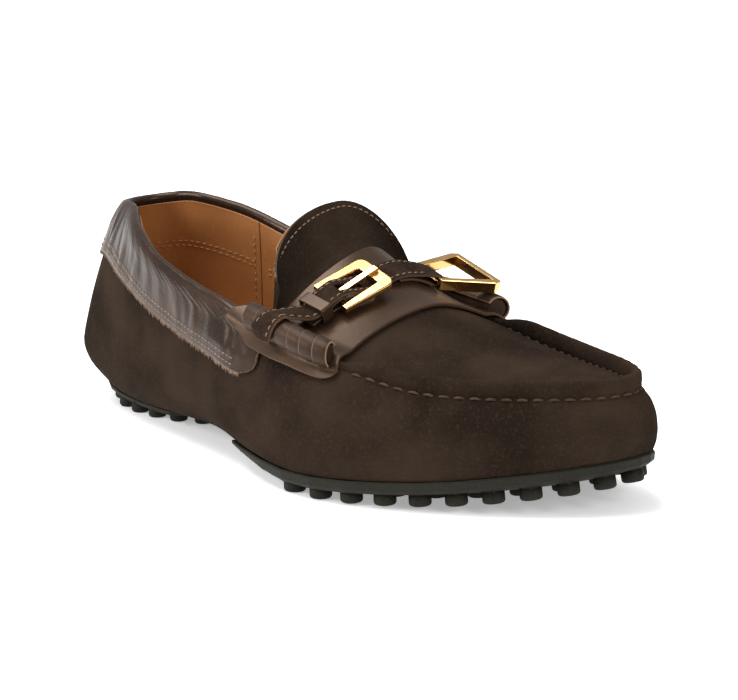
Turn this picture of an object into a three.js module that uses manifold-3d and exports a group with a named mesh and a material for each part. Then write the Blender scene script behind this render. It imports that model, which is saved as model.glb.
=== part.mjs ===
// Moccasin with a strapped saddle, a small gold buckle and a gold ring. Right shoe.
// Millimetres. Toe along +X, outer side of the foot along -Y, up is +Z, ground at Z = 0.
import * as THREE from 'three';
import { mergeVertices } from 'three/addons/utils/BufferGeometryUtils.js';
import Module from 'manifold-3d';

const wasm = await Module();
wasm.setup();

// ---- driving sizes ----
const shoeLength = 280;
const widthFactor = 1;
const gap = 0.3;
const suedeThickness = 1.6;
const liningThickness = 1.0;
const counterThickness = 1.2;
const ridgeThickness = 4.2;
const ridgeHeight = 7.4;
const crushedRidgeHeight = 3.2;
const saddleThickness = 1.5;
const cuffThickness = 1.2;
const cuffDepth = 20;
const cuffTurnIn = 3.4;
const rollInnerRadius = 3.9;
const rollOuterRadius = 5.0;
const rollCoils = 7;
const nubHeight = 4.0;
const frontNubRadius = 4.1;
const heelNubRadius = 3.5;
const strapWidth = 10;
const strapThickness = 1.2;
const thinStrapThickness = 0.9;
// what the two legs of the buckle and the play beside the strap add to the strap's width
const buckleSideAllowance = 8.5;
const buckleWidth = strapWidth + buckleSideAllowance;
const buckleLength = 24;
const buckleThickness = 2.4;
const barRadius = 0.95;
const prongWidth = 2.2;
const prongThickness = 1.5;
const ringBand = 2.0;
const ringDepth = 4.4;
const ringBarRadius = 1.1;
const stepsAround = 56;

// places along the shoe are drawn at this length and move in proportion with shoeLength
const drawnLength = 280;
const halfLength = shoeLength / 2;
const turn = Math.PI * 2;
const rightAngle = Math.PI / 2;
const degree = Math.PI / 180;

// ---- smooth curve through a few stations, each [share of half length, value] ----
function through(stations) {
  const last = stations.length - 1;
  const slopes = stations.map((station, i) => {
    const before = stations[Math.max(i - 1, 0)];
    const after = stations[Math.min(i + 1, last)];
    return (after[1] - before[1]) / (after[0] - before[0]);
  });
  return (x) => {
    const share = Math.min(Math.max(x / halfLength, stations[0][0]), stations[last][0]);
    let i = 0;
    while (i < last - 1 && share > stations[i + 1][0]) i += 1;
    const span = stations[i + 1][0] - stations[i][0];
    const t = (share - stations[i][0]) / span;
    const t2 = t * t;
    const t3 = t2 * t;
    return (2 * t3 - 3 * t2 + 1) * stations[i][1] + (t3 - 2 * t2 + t) * span * slopes[i]
      + (3 * t2 - 2 * t3) * stations[i + 1][1] + (t3 - t2) * span * slopes[i + 1];
  };
}
const mix = (a, b, t) => a + (b - a) * t;
const lengthways = (x) => x * (shoeLength / drawnLength);
const widthways = (y) => y * widthFactor;

// ---- the shape of the last ----
const spineY = through([[-1, 2.5], [-0.42, -2.5], [0, -5], [0.42, -3], [1, 13]]);
const outerHalfWidth = through([[-1, 63], [-0.93, 56], [-0.8, 47.5], [-0.6, 44], [-0.245, 45], [0.035, 52],
  [0.315, 61], [0.594, 62], [0.804, 60], [0.94, 61], [1, 66]]);
const innerHalfWidth = through([[-1, 63], [-0.93, 56], [-0.8, 46.5], [-0.6, 42], [-0.245, 38.5], [0.035, 39.5],
  [0.315, 46.5], [0.594, 55], [0.804, 53], [0.94, 53], [1, 56]]);
const featherHeight = through([[-1, 16], [-0.77, 7.5], [-0.42, 8], [-0.07, 10], [0.28, 9],
  [0.63, 12], [0.84, 16.5], [1, 21]]);
const featherInset = through([[-1, 7], [-0.7, 10], [-0.28, 11.5], [0.07, 3.2], [0.42, 2], [1, 1.6]]);
const undersideHeight = through([[-1, 14], [-0.77, 6.2], [-0.42, 6.6], [-0.07, 9], [0.28, 7.6],
  [0.63, 10], [0.84, 14.2], [1, 19]]);
const bulgeHeight = through([[-1, 24], [-0.63, 22], [0, 26], [0.42, 24], [1, 28]]);
const seamInset = through([[-1, 17], [-0.84, 14], [-0.63, 5.5], [-0.42, 1.5], [-0.14, 3], [0.07, 8],
  [0.35, 9.5], [0.63, 7.8], [1, 6.3]]);
const crestInset = through([[-1, 21], [-0.84, 18], [-0.63, 7], [-0.42, 2], [-0.14, 4], [0.07, 8.8],
  [0.35, 10.2], [0.63, 8.4], [1, 7]]);
const outerSeamHeight = through([[-1, 72.5], [-0.84, 74.5], [-0.63, 70.5], [-0.42, 62.5],
  [-0.175, 56], [0.056, 54.5], [0.385, 48], [0.63, 41.4], [1, 41.5]]);
const innerSeamHeight = through([[-1, 72.5], [-0.84, 74.5], [-0.63, 70.5], [-0.42, 63],
  [-0.175, 57.5], [0.056, 57], [0.385, 51], [0.63, 43], [1, 41.5]]);
const ridgeRise = through([[-1, ridgeHeight], [-0.14, ridgeHeight], [0.035, crushedRidgeHeight],
  [0.4, crushedRidgeHeight], [0.5, ridgeHeight], [1, ridgeHeight]]);
const ridgeWide = through([[-1, suedeThickness], [-0.1, suedeThickness], [0.06, 3],
  [0.4, 3], [0.5, ridgeThickness], [1, ridgeThickness]]);
const crownShare = through([[0, 0.66], [0.35, 0.63], [0.63, 0.56], [1, 0.5]]);
const crownHeight = through([[0.05, 83], [0.09, 80.2], [0.21, 70], [0.333, 61.5], [0.49, 54.5], [0.63, 50.5],
  [0.79, 47], [0.93, 45.5]]);
// how much of the seam's inset the wall already has at its middle and upper rows; the heel leans in early
const middleLean = through([[-1, 0.34], [-0.8, 0.24], [-0.6, 0.12], [-0.4, 0.1], [1, 0.1]]);
const upperLean = through([[-1, 0.7], [-0.8, 0.6], [-0.6, 0.46], [-0.4, 0.42], [1, 0.42]]);
const archPower = through([[0.07, 1.6], [0.35, 1.8], [0.63, 2.2], [1, 2.2]]);

// angle 0 is the toe tip, a quarter turn the outer side, a half turn the heel
function onLevel(angle, inset, height) {
  const c = Math.cos(angle);
  const s = Math.sin(angle);
  const x = halfLength * c;
  const half = (s >= 0 ? outerHalfWidth(x) : innerHalfWidth(x)) * widthFactor;
  return new THREE.Vector3(x - inset * c, spineY(x) - half * s + inset * s, height);
}
function seamHeightAt(angle) {
  const x = halfLength * Math.cos(angle);
  return Math.sin(angle) >= 0 ? outerSeamHeight(x) : innerSeamHeight(x);
}
// rows of the wall from the sole joint up to the crest: [inset, height]
function wallRows(angle) {
  const x = halfLength * Math.cos(angle);
  const seam = seamHeightAt(angle);
  const low = featherHeight(x);
  const bulge = bulgeHeight(x);
  const inset = seamInset(x);
  const rise = ridgeRise(x);
  return [
    [featherInset(x), low],
    [featherInset(x) * 0.3, mix(low, bulge, 0.45)],
    [0, bulge],
    [inset * middleLean(x), mix(bulge, seam, 0.4)],
    [inset * upperLean(x), mix(bulge, seam, 0.75)],
    [inset, seam],
    [mix(inset, crestInset(x), 0.5), seam + rise * 0.5],
    [crestInset(x), seam + rise - 0.8],
  ];
}
function wallPoint(angle, row, outward) {
  const rows = wallRows(angle);
  const i = Math.min(Math.max(Math.floor(row), 0), rows.length - 2);
  const t = row - i;
  return onLevel(angle, mix(rows[i][0], rows[i + 1][0], t) - outward, mix(rows[i][1], rows[i + 1][1], t));
}
function rowAtDepth(angle, depth) {
  const rows = wallRows(angle);
  const height = rows[7][1] + 0.8 - depth;
  for (let i = 6; i > 0; i -= 1) {
    if (rows[i][1] <= height) return i + (height - rows[i][1]) / (rows[i + 1][1] - rows[i][1]);
  }
  return 0;
}
function crestHeightAt(angle) {
  return seamHeightAt(angle) + ridgeRise(halfLength * Math.cos(angle));
}
function angleAtX(x) {
  return Math.acos(x / halfLength);
}

// ---- turning lists of points into closed solids ----
function closeUp(points, faces) {
  let volume = 0;
  const a = new THREE.Vector3();
  for (const [i, j, k] of faces) volume += points[i].dot(a.crossVectors(points[j], points[k]));
  const geometry = new THREE.BufferGeometry();
  geometry.setAttribute('position', new THREE.Float32BufferAttribute(points.flatMap((p) => [p.x, p.y, p.z]), 3));
  geometry.setIndex(faces.flatMap(([i, j, k]) => (volume > 0 ? [i, j, k] : [i, k, j])));
  geometry.computeVertexNormals();
  return geometry;
}
// a sheet between two grids of points; closed says the rows run round and meet
function sheet(outside, inside, closed = false) {
  const rows = outside.length;
  const columns = outside[0].length;
  const points = [...outside.flat(), ...inside.flat()];
  const far = rows * columns;
  const faces = [];
  const quad = (a, b, c, d) => faces.push([a, b, c], [a, c, d]);
  const rowSpans = closed ? rows : rows - 1;
  for (let r = 0; r < rowSpans; r += 1) {
    const next = (r + 1) % rows;
    for (let c = 0; c < columns - 1; c += 1) {
      quad(r * columns + c, next * columns + c, next * columns + c + 1, r * columns + c + 1);
      quad(far + r * columns + c, far + r * columns + c + 1, far + next * columns + c + 1, far + next * columns + c);
    }
    const end = columns - 1;
    quad(r * columns, far + r * columns, far + next * columns, next * columns);
    quad(r * columns + end, next * columns + end, far + next * columns + end, far + r * columns + end);
  }
  if (!closed) {
    for (const r of [0, rows - 1]) {
      for (let c = 0; c < columns - 1; c += 1) {
        const strip = [r * columns + c, r * columns + c + 1, far + r * columns + c + 1, far + r * columns + c];
        if (r > 0) strip.reverse();
        quad(...strip);
      }
    }
  }
  return closeUp(points, faces);
}
// rings all round the shoe, closed at each end on a middle point
function rounded(rings, firstMiddle, lastMiddle) {
  const columns = rings[0].length;
  const points = [...rings.flat(), firstMiddle, lastMiddle];
  const faces = [];
  for (let c = 0; c < columns; c += 1) {
    const next = (c + 1) % columns;
    for (let r = 0; r < rings.length - 1; r += 1) {
      const a = r * columns;
      const b = (r + 1) * columns;
      faces.push([a + c, a + next, b + next], [a + c, b + next, b + c]);
    }
    const end = (rings.length - 1) * columns;
    faces.push([points.length - 2, next, c], [points.length - 1, end + c, end + next]);
  }
  return closeUp(points, faces);
}
function toSolid(geometry) {
  const bare = new THREE.BufferGeometry();
  bare.setAttribute('position', geometry.getAttribute('position').clone());
  if (geometry.index) bare.setIndex(geometry.index.clone());
  const welded = mergeVertices(bare, 1e-4);
  return new wasm.Manifold(new wasm.Mesh({
    numProp: 3,
    vertProperties: new Float32Array(welded.getAttribute('position').array),
    triVerts: new Uint32Array(welded.index.array),
  }));
}
function fromSolid(solid) {
  const mesh = solid.getMesh();
  const geometry = new THREE.BufferGeometry();
  geometry.setAttribute('position', new THREE.Float32BufferAttribute(Array.from(mesh.vertProperties), 3));
  geometry.setIndex(Array.from(mesh.triVerts));
  geometry.computeVertexNormals();
  return geometry;
}

// ---- materials and the list of pieces ----
const paint = (colour, roughness, metalness) => new THREE.MeshStandardMaterial({ color: colour, roughness, metalness });
const suede = paint(0x44352c, 0.95, 0);
const smoothLeather = paint(0x3a2d27, 0.45, 0);
const cuffLeather = paint(0x3b2f2a, 0.3, 0);
const strapSuede = paint(0x40302a, 0.9, 0);
const tanLining = paint(0xa5703e, 0.6, 0);
const laceLeather = paint(0x44362f, 0.55, 0);
const rubber = paint(0x37352f, 0.7, 0);
const gold = paint(0xd8ac56, 0.2, 1);
const foam = paint(0xd8d0bd, 0.9, 0);
const board = paint(0xb39a74, 0.85, 0);
const shoe = new THREE.Group();
shoe.name = 'shoe';
function addPiece(name, geometry, material, parent = shoe) {
  const mesh = new THREE.Mesh(geometry, material);
  mesh.name = name;
  parent.add(mesh);
  return mesh;
}
const around = Array.from({ length: stepsAround }, (_, i) => (i / stepsAround) * turn);
// list of angles from one x on the outer side, round the heel or toe, to another
function sweepAngles(from, to, count) {
  return Array.from({ length: count + 1 }, (_, i) => mix(from, to, i / count));
}

// ---- rings under the foot ----
const soleCorner = 3;
function underRing(share, lift, extraInset = 0) {
  return around.map((angle) => {
    const x = halfLength * Math.cos(angle);
    const edge = onLevel(angle, featherInset(x) + soleCorner + extraInset, 0);
    const point = new THREE.Vector3(edge.x * share, mix(spineY(edge.x * share), edge.y, share), 0);
    point.z = undersideHeight(point.x) + (typeof lift === 'function' ? lift(point.x) : lift);
    return point;
  });
}
function middle(lift) {
  return new THREE.Vector3(0, spineY(0), undersideHeight(0) + lift);
}
const ringOf = (make) => around.map(make);
const shares = [0.35, 0.65, 0.85, 1];

// ---- suede wrap: the wall, the pinched ridge round the apron and the bottom, one hide ----
function makeWrap() {
  const rings = shares.map((share) => underRing(share, 0));
  for (let row = 0; row < 8; row += 1) rings.push(ringOf((angle) => wallPoint(angle, row, 0)));
  const ridgePart = (inward, drop) => ringOf((angle) => {
    const x = halfLength * Math.cos(angle);
    return onLevel(angle, crestInset(x) + ridgeWide(x) * inward, crestHeightAt(angle) - drop);
  });
  rings.push(ridgePart(0.4, 0));
  rings.push(ridgePart(0.85, 0.9));
  rings.push(ringOf((angle) => {
    const x = halfLength * Math.cos(angle);
    return onLevel(angle, mix(seamInset(x), crestInset(x), 0.5) + ridgeWide(x), seamHeightAt(angle) + ridgeRise(x) * 0.45);
  }));
  rings.push(ringOf((angle) => {
    const x = halfLength * Math.cos(angle);
    return onLevel(angle, seamInset(x) + ridgeWide(x), seamHeightAt(angle) - 0.15 * (ridgeWide(x) - suedeThickness));
  }));
  rings.push(ringOf((angle) => {
    const x = halfLength * Math.cos(angle);
    const down = Math.max(0.1, ridgeWide(x) - suedeThickness);
    const row = 5 - down * 0.22;
    return wallPoint(angle, row, -suedeThickness);
  }));
  for (const row of [4, 3, 2, 1]) rings.push(ringOf((angle) => wallPoint(angle, row, -suedeThickness)));
  rings.push(ringOf((angle) => wallPoint(angle, 0.35, -suedeThickness)));
  for (const share of [0.97, 0.85, 0.65, 0.35]) rings.push(underRing(share, suedeThickness));
  return rounded(rings, middle(0), middle(suedeThickness));
}
const wrapShape = makeWrap();
addPiece('upper_wrap', wrapShape, suede);
// the wrap moved down by the gap, to trim the rubber clear of it
const wrapLowered = toSolid(wrapShape).translate([0, 0, -gap]);

// ---- apron and tongue, one hide ----
const tongueX = lengthways(-1);
const tongueTop = 95.3;
const tongueDrop = 26;
const tongueSweep = lengthways(13.5);
const tongueOuterHalf = 42;
const tongueInnerHalf = 25;
const rearAngle = angleAtX(0.092 * halfLength);
// more play beside the ridge than the gap, since apron and wrap are faceted at different places
const apronEase = widthways(0.4);
function apronPoint(angle, swing) {
  const x = halfLength * Math.cos(angle);
  const inset = seamInset(x) + ridgeWide(x) + gap + apronEase;
  const outerEdge = onLevel(angle, inset, outerSeamHeight(x) + 1.6);
  const innerEdge = onLevel(-angle, inset, innerSeamHeight(x) + 1.6);
  const crownY = mix(outerEdge.y, innerEdge.y, crownShare(outerEdge.x));
  const edge = swing < 0 ? outerEdge : innerEdge;
  const s = Math.abs(Math.sin(swing));
  const top = Math.max(crownHeight(outerEdge.x), edge.z + 0.6);
  return new THREE.Vector3(edge.x, mix(crownY, edge.y, s), top - (top - edge.z) * s ** archPower(edge.x));
}
function tonguePoint(climb, swing) {
  const base = apronPoint(rearAngle, swing);
  const crown = apronPoint(rearAngle, 0);
  const half = (swing < 0 ? tongueOuterHalf : tongueInnerHalf) * widthFactor;
  const fall = 1 - Math.cos(swing);
  const edge = new THREE.Vector3(tongueX + tongueSweep * fall, crown.y + half * Math.sin(swing), tongueTop - tongueDrop * fall);
  return base.lerp(edge, climb);
}
function lifted(surface, u, v, height) {
  const step = 0.01;
  const here = surface(u, v);
  const alongU = surface(u + step, v).sub(surface(u - step, v));
  const alongV = surface(u, v + step).sub(surface(u, v - step));
  const normal = alongU.cross(alongV).normalize();
  if (normal.y * Math.sin(v) + normal.z * 0.6 < 0) normal.negate();
  return here.addScaledVector(normal, height);
}
const swings = Array.from({ length: 17 }, (_, i) => (-90 + i * 11.25) * degree);
function apronGrid(height, trim = 1) {
  const tongueEase = trim < 1 ? 1.4 : 1;
  const rows = sweepAngles(0.09, rearAngle, 13).map((angle) => swings.map((swing) => {
    const point = apronPoint(angle, swing * trim);
    return point.setZ(point.z + height);
  }));
  for (const climb of [0.25, 0.5, 0.75, 1]) {
    rows.push(swings.map((swing) => lifted(tonguePoint, climb, swing * trim, height * tongueEase)));
  }
  return rows;
}
addPiece('apron', sheet(apronGrid(0), apronGrid(-suedeThickness)), suede);
const tongueLiningTrim = 0.62;
const underApron = -suedeThickness - 5 * gap;
addPiece('tongue_lining', sheet(apronGrid(underApron, tongueLiningTrim), apronGrid(underApron - liningThickness, tongueLiningTrim)), tanLining);

// ---- sole: rubber under the forefoot and under the heel, each moulded with its nubs ----
// rubber is first made this much too high, then trimmed to lie a gap below the wrap
const trimAllowance = 0.4;
const plateRim = 4.8;
const plateThin = 0.9;
const plateRear = -0.12;
const plateFull = 0.2;
function plateDepth(x) {
  const t = Math.min(Math.max((x / halfLength - plateRear) / (plateFull - plateRear), 0), 1);
  return mix(plateThin, plateRim - 1.5, t * t * (3 - 2 * t));
}
function makePlate() {
  const rings = shares.map((share) => underRing(share, trimAllowance));
  const rim = (inset, drop) => ringOf((angle) => {
    const x = halfLength * Math.cos(angle);
    const scale = plateDepth(x) / (plateRim - 1.5);
    return onLevel(angle, featherInset(x) + inset, featherHeight(x) - gap - drop * scale);
  });
  rings.push(rim(0.7, -trimAllowance - gap), rim(-0.7, 0.5), rim(-0.5, 3.2), rim(1.2, plateRim));
  for (const share of [0.97, 0.7, 0.35]) {
    rings.push(underRing(share, (x) => -gap - 0.05 - plateDepth(x)));
  }
  return rounded(rings, middle(trimAllowance), middle(-gap - 0.05 - plateDepth(0)));
}
function nubProfile(radius, height) {
  const root = 1.5;
  return [[0, root], [radius, root], [radius, -height + 0.9], [radius - 0.9, -height], [0, -height]]
    .reverse().map(([r, z]) => new THREE.Vector2(r, z));
}
function nub(x, y, base, radius, height) {
  const slope = Math.atan((undersideHeight(x + 2) - undersideHeight(x - 2)) / 4);
  const geometry = new THREE.LatheGeometry(nubProfile(radius, height), 7);
  geometry.rotateX(rightAngle);
  geometry.rotateY(-slope);
  geometry.translate(x, y, base);
  return toSolid(geometry);
}
// places spaced along a ring of the sole, at least a pitch apart
function spaced(makePoint, from, to, pitch) {
  const places = [];
  let previous = null;
  for (let i = 0; i <= 900; i += 1) {
    const point = makePoint(mix(from, to, i / 900));
    if (!previous || point.distanceTo(previous) >= pitch) {
      places.push(point);
      previous = point;
    }
  }
  if (places.length > 1 && places[0].distanceTo(places[places.length - 1]) < pitch * 0.8) places.pop();
  return places;
}
function insetRing(inset) {
  return (angle) => {
    const x = halfLength * Math.cos(angle);
    return onLevel(angle, featherInset(x) + inset, 0);
  };
}
// nubs reach this far below the ground before they are cut flat on it
const nubSink = 0.15;
function makeForefootSole() {
  const roundEnd = new THREE.CylinderGeometry(1, 1, 80, 40);
  roundEnd.rotateX(rightAngle);
  roundEnd.scale(30, 62, 1);
  roundEnd.translate(12, spineY(10), 0);
  const front = new THREE.BoxGeometry(halfLength + 20, 200, 80);
  front.translate(12 + (halfLength + 20) / 2, 0, 0);
  let sole = toSolid(makePlate()).intersect(toSolid(roundEnd).add(toSolid(front)));
  const places = [
    ...spaced(insetRing(6.4), -1.4, 1.4, 13),
    ...spaced(insetRing(20.5), -1.3, 1.3, 15),
    ...spaced(insetRing(34.5), -1.15, 1.15, 15),
    ...[24, 40, 56, 72].map((x) => new THREE.Vector3(x, spineY(x) - 3, 0)),
  ];
  for (const place of places) {
    const base = undersideHeight(place.x) - gap - 0.05 - plateDepth(place.x);
    sole = sole.add(nub(place.x, place.y, base, frontNubRadius, Math.min(nubHeight + 0.1, base + nubSink)));
  }
  return fromSolid(sole.subtract(wrapLowered).trimByPlane([0, 0, 1], 0).simplify(0.02));
}
addPiece('forefoot_outsole', makeForefootSole(), rubber);
function makeHeelSole() {
  const thickness = 1.6;
  const heelMiddle = lengthways(-88);
  const rings = shares.map((share) => underRing(share, trimAllowance));
  rings.push(underRing(0.99, -gap - thickness), ...[0.7, 0.35].map((share) => underRing(share, -gap - thickness)));
  const outline = new THREE.CylinderGeometry(1, 1, 60, 40);
  outline.rotateX(rightAngle);
  outline.scale(lengthways(38), widthways(29), 1);
  outline.translate(heelMiddle, spineY(heelMiddle), 0);
  let sole = toSolid(rounded(rings, middle(trimAllowance), middle(-gap - thickness))).intersect(toSolid(outline));
  const ringPlace = (across, along) => (angle) => new THREE.Vector3(
    heelMiddle + lengthways(along) * Math.cos(angle), spineY(heelMiddle) + widthways(across) * Math.sin(angle), 0);
  const places = [
    ...spaced(ringPlace(18, 31), 0.1, turn + 0.1, 10.6),
    ...spaced(ringPlace(7.5, 19), 0.3, turn + 0.3, 11),
  ];
  for (const place of places) {
    const base = undersideHeight(place.x) - gap - thickness;
    sole = sole.add(nub(place.x, place.y, base, heelNubRadius, Math.min(base + nubSink, nubHeight + 0.9)));
  }
  return fromSolid(sole.subtract(wrapLowered).trimByPlane([0, 0, 1], 0).simplify(0.02));
}
addPiece('heel_outsole', makeHeelSole(), rubber);

// ---- inside the shoe, bottom up ----
const boardThickness = 1.4;
const foamThickness = 3;
const sockThickness = 1.1;
const insideInset = 3;
const floorAngles = sweepAngles(0.3, Math.PI - 0.26, 20);
function floorSlab(bottom, thickness, extraInset) {
  const grid = (lift) => floorAngles.map((angle) => {
    const inset = featherInset(halfLength * Math.cos(angle)) + soleCorner + extraInset;
    const outer = onLevel(angle, inset, 0);
    const inner = onLevel(-angle, inset, 0);
    const height = undersideHeight(outer.x) + lift;
    return [outer.setZ(height), outer.clone().lerp(inner, 0.5).setZ(height), inner.setZ(height)];
  });
  return sheet(grid(bottom + thickness), grid(bottom));
}
let floor = suedeThickness + 2 * gap;
addPiece('insole_board', floorSlab(floor, boardThickness, insideInset), board);
floor += boardThickness + gap;
addPiece('footbed_foam', floorSlab(floor, foamThickness, insideInset), foam);
floor += foamThickness + gap;
addPiece('sock_liner', floorSlab(floor, sockThickness, insideInset - 0.6), tanLining);

// ---- linings on the wall; the heel has a stiff counter behind its lining ----
const liningOut = -suedeThickness - gap - counterThickness - gap;
const liningRows = [1, 2, 3, 4, 5];
function wallPatch(angles, lowRow, topDepth, outward, thickness) {
  const grid = (out) => angles.map((angle) => {
    const top = rowAtDepth(angle, topDepth);
    // rows above the top edge crowd together just below it
    const rows = liningRows.map((row, i) => Math.min(row, top - 0.04 * (liningRows.length - i)));
    return [lowRow, ...rows, top].map((row) => wallPoint(angle, row, out));
  });
  return sheet(grid(outward), grid(outward - thickness));
}
const liningTopDepth = cuffTurnIn + 1.2 + gap;
const frontOuter = angleAtX(lengthways(4));
const heelOuter = angleAtX(lengthways(-78));
const seamGap = 0.012;
addPiece('lining_lateral', wallPatch(sweepAngles(frontOuter + seamGap, heelOuter - seamGap, 8), 0.8,
  liningTopDepth, liningOut, liningThickness), tanLining);
addPiece('lining_medial', wallPatch(sweepAngles(turn - heelOuter + seamGap, turn - frontOuter - seamGap, 8), 0.8,
  liningTopDepth, liningOut, liningThickness), tanLining);
addPiece('heel_lining', wallPatch(sweepAngles(heelOuter, turn - heelOuter, 16), 0.8,
  liningTopDepth, liningOut, liningThickness), tanLining);
const vampGrid = (out) => sweepAngles(-frontOuter + seamGap, frontOuter - seamGap, 24)
  .map((angle) => [0.8, 1, 2, 3, 4, 4.5].map((row) => wallPoint(angle, row, out)));
addPiece('vamp_lining', sheet(vampGrid(liningOut), vampGrid(liningOut - liningThickness)), tanLining);
// the counter keeps to the wrap's own stations, and eases away from the twist of the inner heel corner
const counterEase = 0.35;
const counterAngles = around.filter((angle) => Math.cos(angle) < -0.65);
addPiece('heel_counter', wallPatch(counterAngles, 0.9,
  cuffDepth + 6, -suedeThickness - gap - counterEase, counterThickness - 1.5 * counterEase), board);
const paddedAngles = around.filter((angle) => Math.cos(angle) < -0.1);
const paddingGrid = (out) => paddedAngles.map((angle) => {
  const low = rowAtDepth(angle, cuffDepth + 5);
  const top = rowAtDepth(angle, cuffTurnIn + 3.2);
  const rows = [4, 5, 6].map((row, i) => Math.min(Math.max(row, low + 0.04 * (i + 1)), top - 0.04 * (3 - i)));
  return [low, ...rows, top].map((row) => wallPoint(angle, row, out));
});
const paddingOut = -suedeThickness - gap - 0.4;
addPiece('collar_padding', sheet(paddingGrid(paddingOut), paddingGrid(paddingOut - counterThickness + 0.6)), foam);

// ---- leather cuff folded over the topline ----
function makeCuff() {
  const startTop = angleAtX(lengthways(-7));
  const startLow = angleAtX(lengthways(5));
  const steps = 34;
  const grid = (out) => Array.from({ length: steps + 1 }, (_, i) => {
    const share = i / steps;
    const span = (low) => mix(mix(startTop, startLow, low), turn - mix(startTop, startLow, low), share);
    const column = [];
    for (const part of [1, 0.72, 0.45, 0.22]) {
      const angle = span(part);
      column.push(wallPoint(angle, rowAtDepth(angle, cuffDepth * part), gap + 0.35 + out));
    }
    const angle = span(0);
    const x = halfLength * Math.cos(angle);
    const top = crestHeightAt(angle);
    const wide = ridgeWide(x);
    column.push(onLevel(angle, crestInset(x) - gap - 0.2 - out, top - 0.4));
    column.push(onLevel(angle, crestInset(x) + wide * 0.45, top + gap + 0.15 + out));
    column.push(onLevel(angle, crestInset(x) + wide + gap + 0.15 + out, top - 0.6));
    const inside = wallPoint(angle, rowAtDepth(angle, cuffTurnIn), -wide - gap - 0.15 - out);
    column.push(inside);
    return column;
  });
  return sheet(grid(cuffThickness), grid(0));
}
addPiece('collar_band', makeCuff(), cuffLeather);
const stripGrid = (out) => sweepAngles(Math.PI - 0.12, Math.PI + 0.12, 4)
  .map((angle) => [0.6, 1, 2, 3, rowAtDepth(angle, cuffDepth + 1)].map((row) => wallPoint(angle, row, out)));
addPiece('back_strip', sheet(stripGrid(gap + 0.9), stripGrid(gap)), suede);

// ---- saddle across the instep, from below one roll to below the other ----
const saddleLow = 4.4;
const saddleFlat = 64;
const saddleSwings = Array.from({ length: 13 }, (_, i) => (-saddleFlat + i * (saddleFlat * 2 / 12)) * degree);
function saddleColumn(share, height) {
  // share 0 is the toe edge and 1 the heel edge
  const points = [];
  const side = (sign, rows) => rows.forEach((row) => {
    const rear = lengthways(row < 5.5 ? 9 : -2);
    const angle = mix(angleAtX(lengthways(56)), angleAtX(rear), share);
    points.push(wallPoint(sign * angle, row, gap + 0.6 + height));
  });
  const crest = (sign) => {
    const angle = mix(angleAtX(lengthways(55)), angleAtX(0), share);
    const x = halfLength * Math.cos(angle);
    points.push(onLevel(sign * angle, crestInset(x) + ridgeWide(x) * 0.5, crestHeightAt(sign * angle) + gap + 0.5 + height));
  };
  side(1, [saddleLow, 4.65, 5, 6, 6.9]);
  crest(1);
  for (const swing of saddleSwings) {
    const bow = 1 - Math.cos(swing);
    const angle = mix(angleAtX(lengthways(52 + 5 * bow)), Math.min(angleAtX(lengthways(16.5 - 5 * bow)), rearAngle), share);
    points.push(lifted(apronPoint, angle, swing, gap + 0.25 + height));
  }
  crest(-1);
  side(-1, [6.9, 6, 5, 4.65, saddleLow]);
  return points;
}
const saddleGrid = (height) => Array.from({ length: 8 }, (_, i) => saddleColumn(i / 7, height));
addPiece('saddle', sheet(saddleGrid(saddleThickness), saddleGrid(0)), smoothLeather);

// ---- rolls: leather lace wound in coils round the seam at each end of the saddle ----
const rollLift = 5.2;
const rollOut = 1.2;
function rollCentre(angle) {
  const x = halfLength * Math.cos(angle);
  return onLevel(angle, seamInset(x) - rollOut, seamHeightAt(angle) + rollLift);
}
function makeRoll(sign) {
  const rows = (radiusAt) => {
    const grid = [];
    for (let coil = 0; coil < rollCoils; coil += 1) {
      for (const along of [0.06, 0.94]) {
        const angle = mix(angleAtX(lengthways(6)), angleAtX(lengthways(53)), (coil + along) / rollCoils);
        const centre = rollCentre(sign * angle);
        const out = new THREE.Vector3(Math.cos(angle), -sign * Math.sin(angle), 0).normalize();
        const radius = radiusAt(along);
        grid.push(Array.from({ length: 9 }, (_, i) => {
          const a = mix(-66, 148, i / 8) * degree;
          return centre.clone().addScaledVector(out, radius * Math.cos(a)).add(new THREE.Vector3(0, 0, radius * Math.sin(a)));
        }));
      }
    }
    return grid;
  };
  return sheet(rows((along) => rollOuterRadius + 0.25 * (along < 0.5)), rows(() => rollInnerRadius));
}
addPiece('lateral_roll', makeRoll(1), laceLeather);
addPiece('medial_roll', makeRoll(-1), laceLeather);

// ---- the bed the straps lie on: top of the saddle at a given x and y ----
function bed(x, y) {
  let angle = angleAtX(x);
  let swing = 0;
  for (let i = 0; i < 6; i += 1) {
    const at = apronPoint(angle, swing);
    angle += (at.x - x) / (halfLength * Math.sin(angle));
    const crown = apronPoint(angle, 0);
    const edge = apronPoint(angle, y < crown.y ? -rightAngle : rightAngle);
    const s = Math.min(Math.abs((y - crown.y) / (edge.y - crown.y)), 0.999);
    swing = Math.asin(s) * (y < crown.y ? -1 : 1);
  }
  const base = gap + 0.25 + saddleThickness;
  const point = lifted(apronPoint, angle, swing, base);
  const normal = lifted(apronPoint, angle, swing, base + 1).sub(point);
  return { point, normal };
}
const strapLineX = (y) => lengthways(27.5) + 0.055 * (y + 30);
function bedAt(y, height) {
  const { point, normal } = bed(strapLineX(y), y);
  return { point: point.clone().addScaledVector(normal, height), normal };
}
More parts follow.
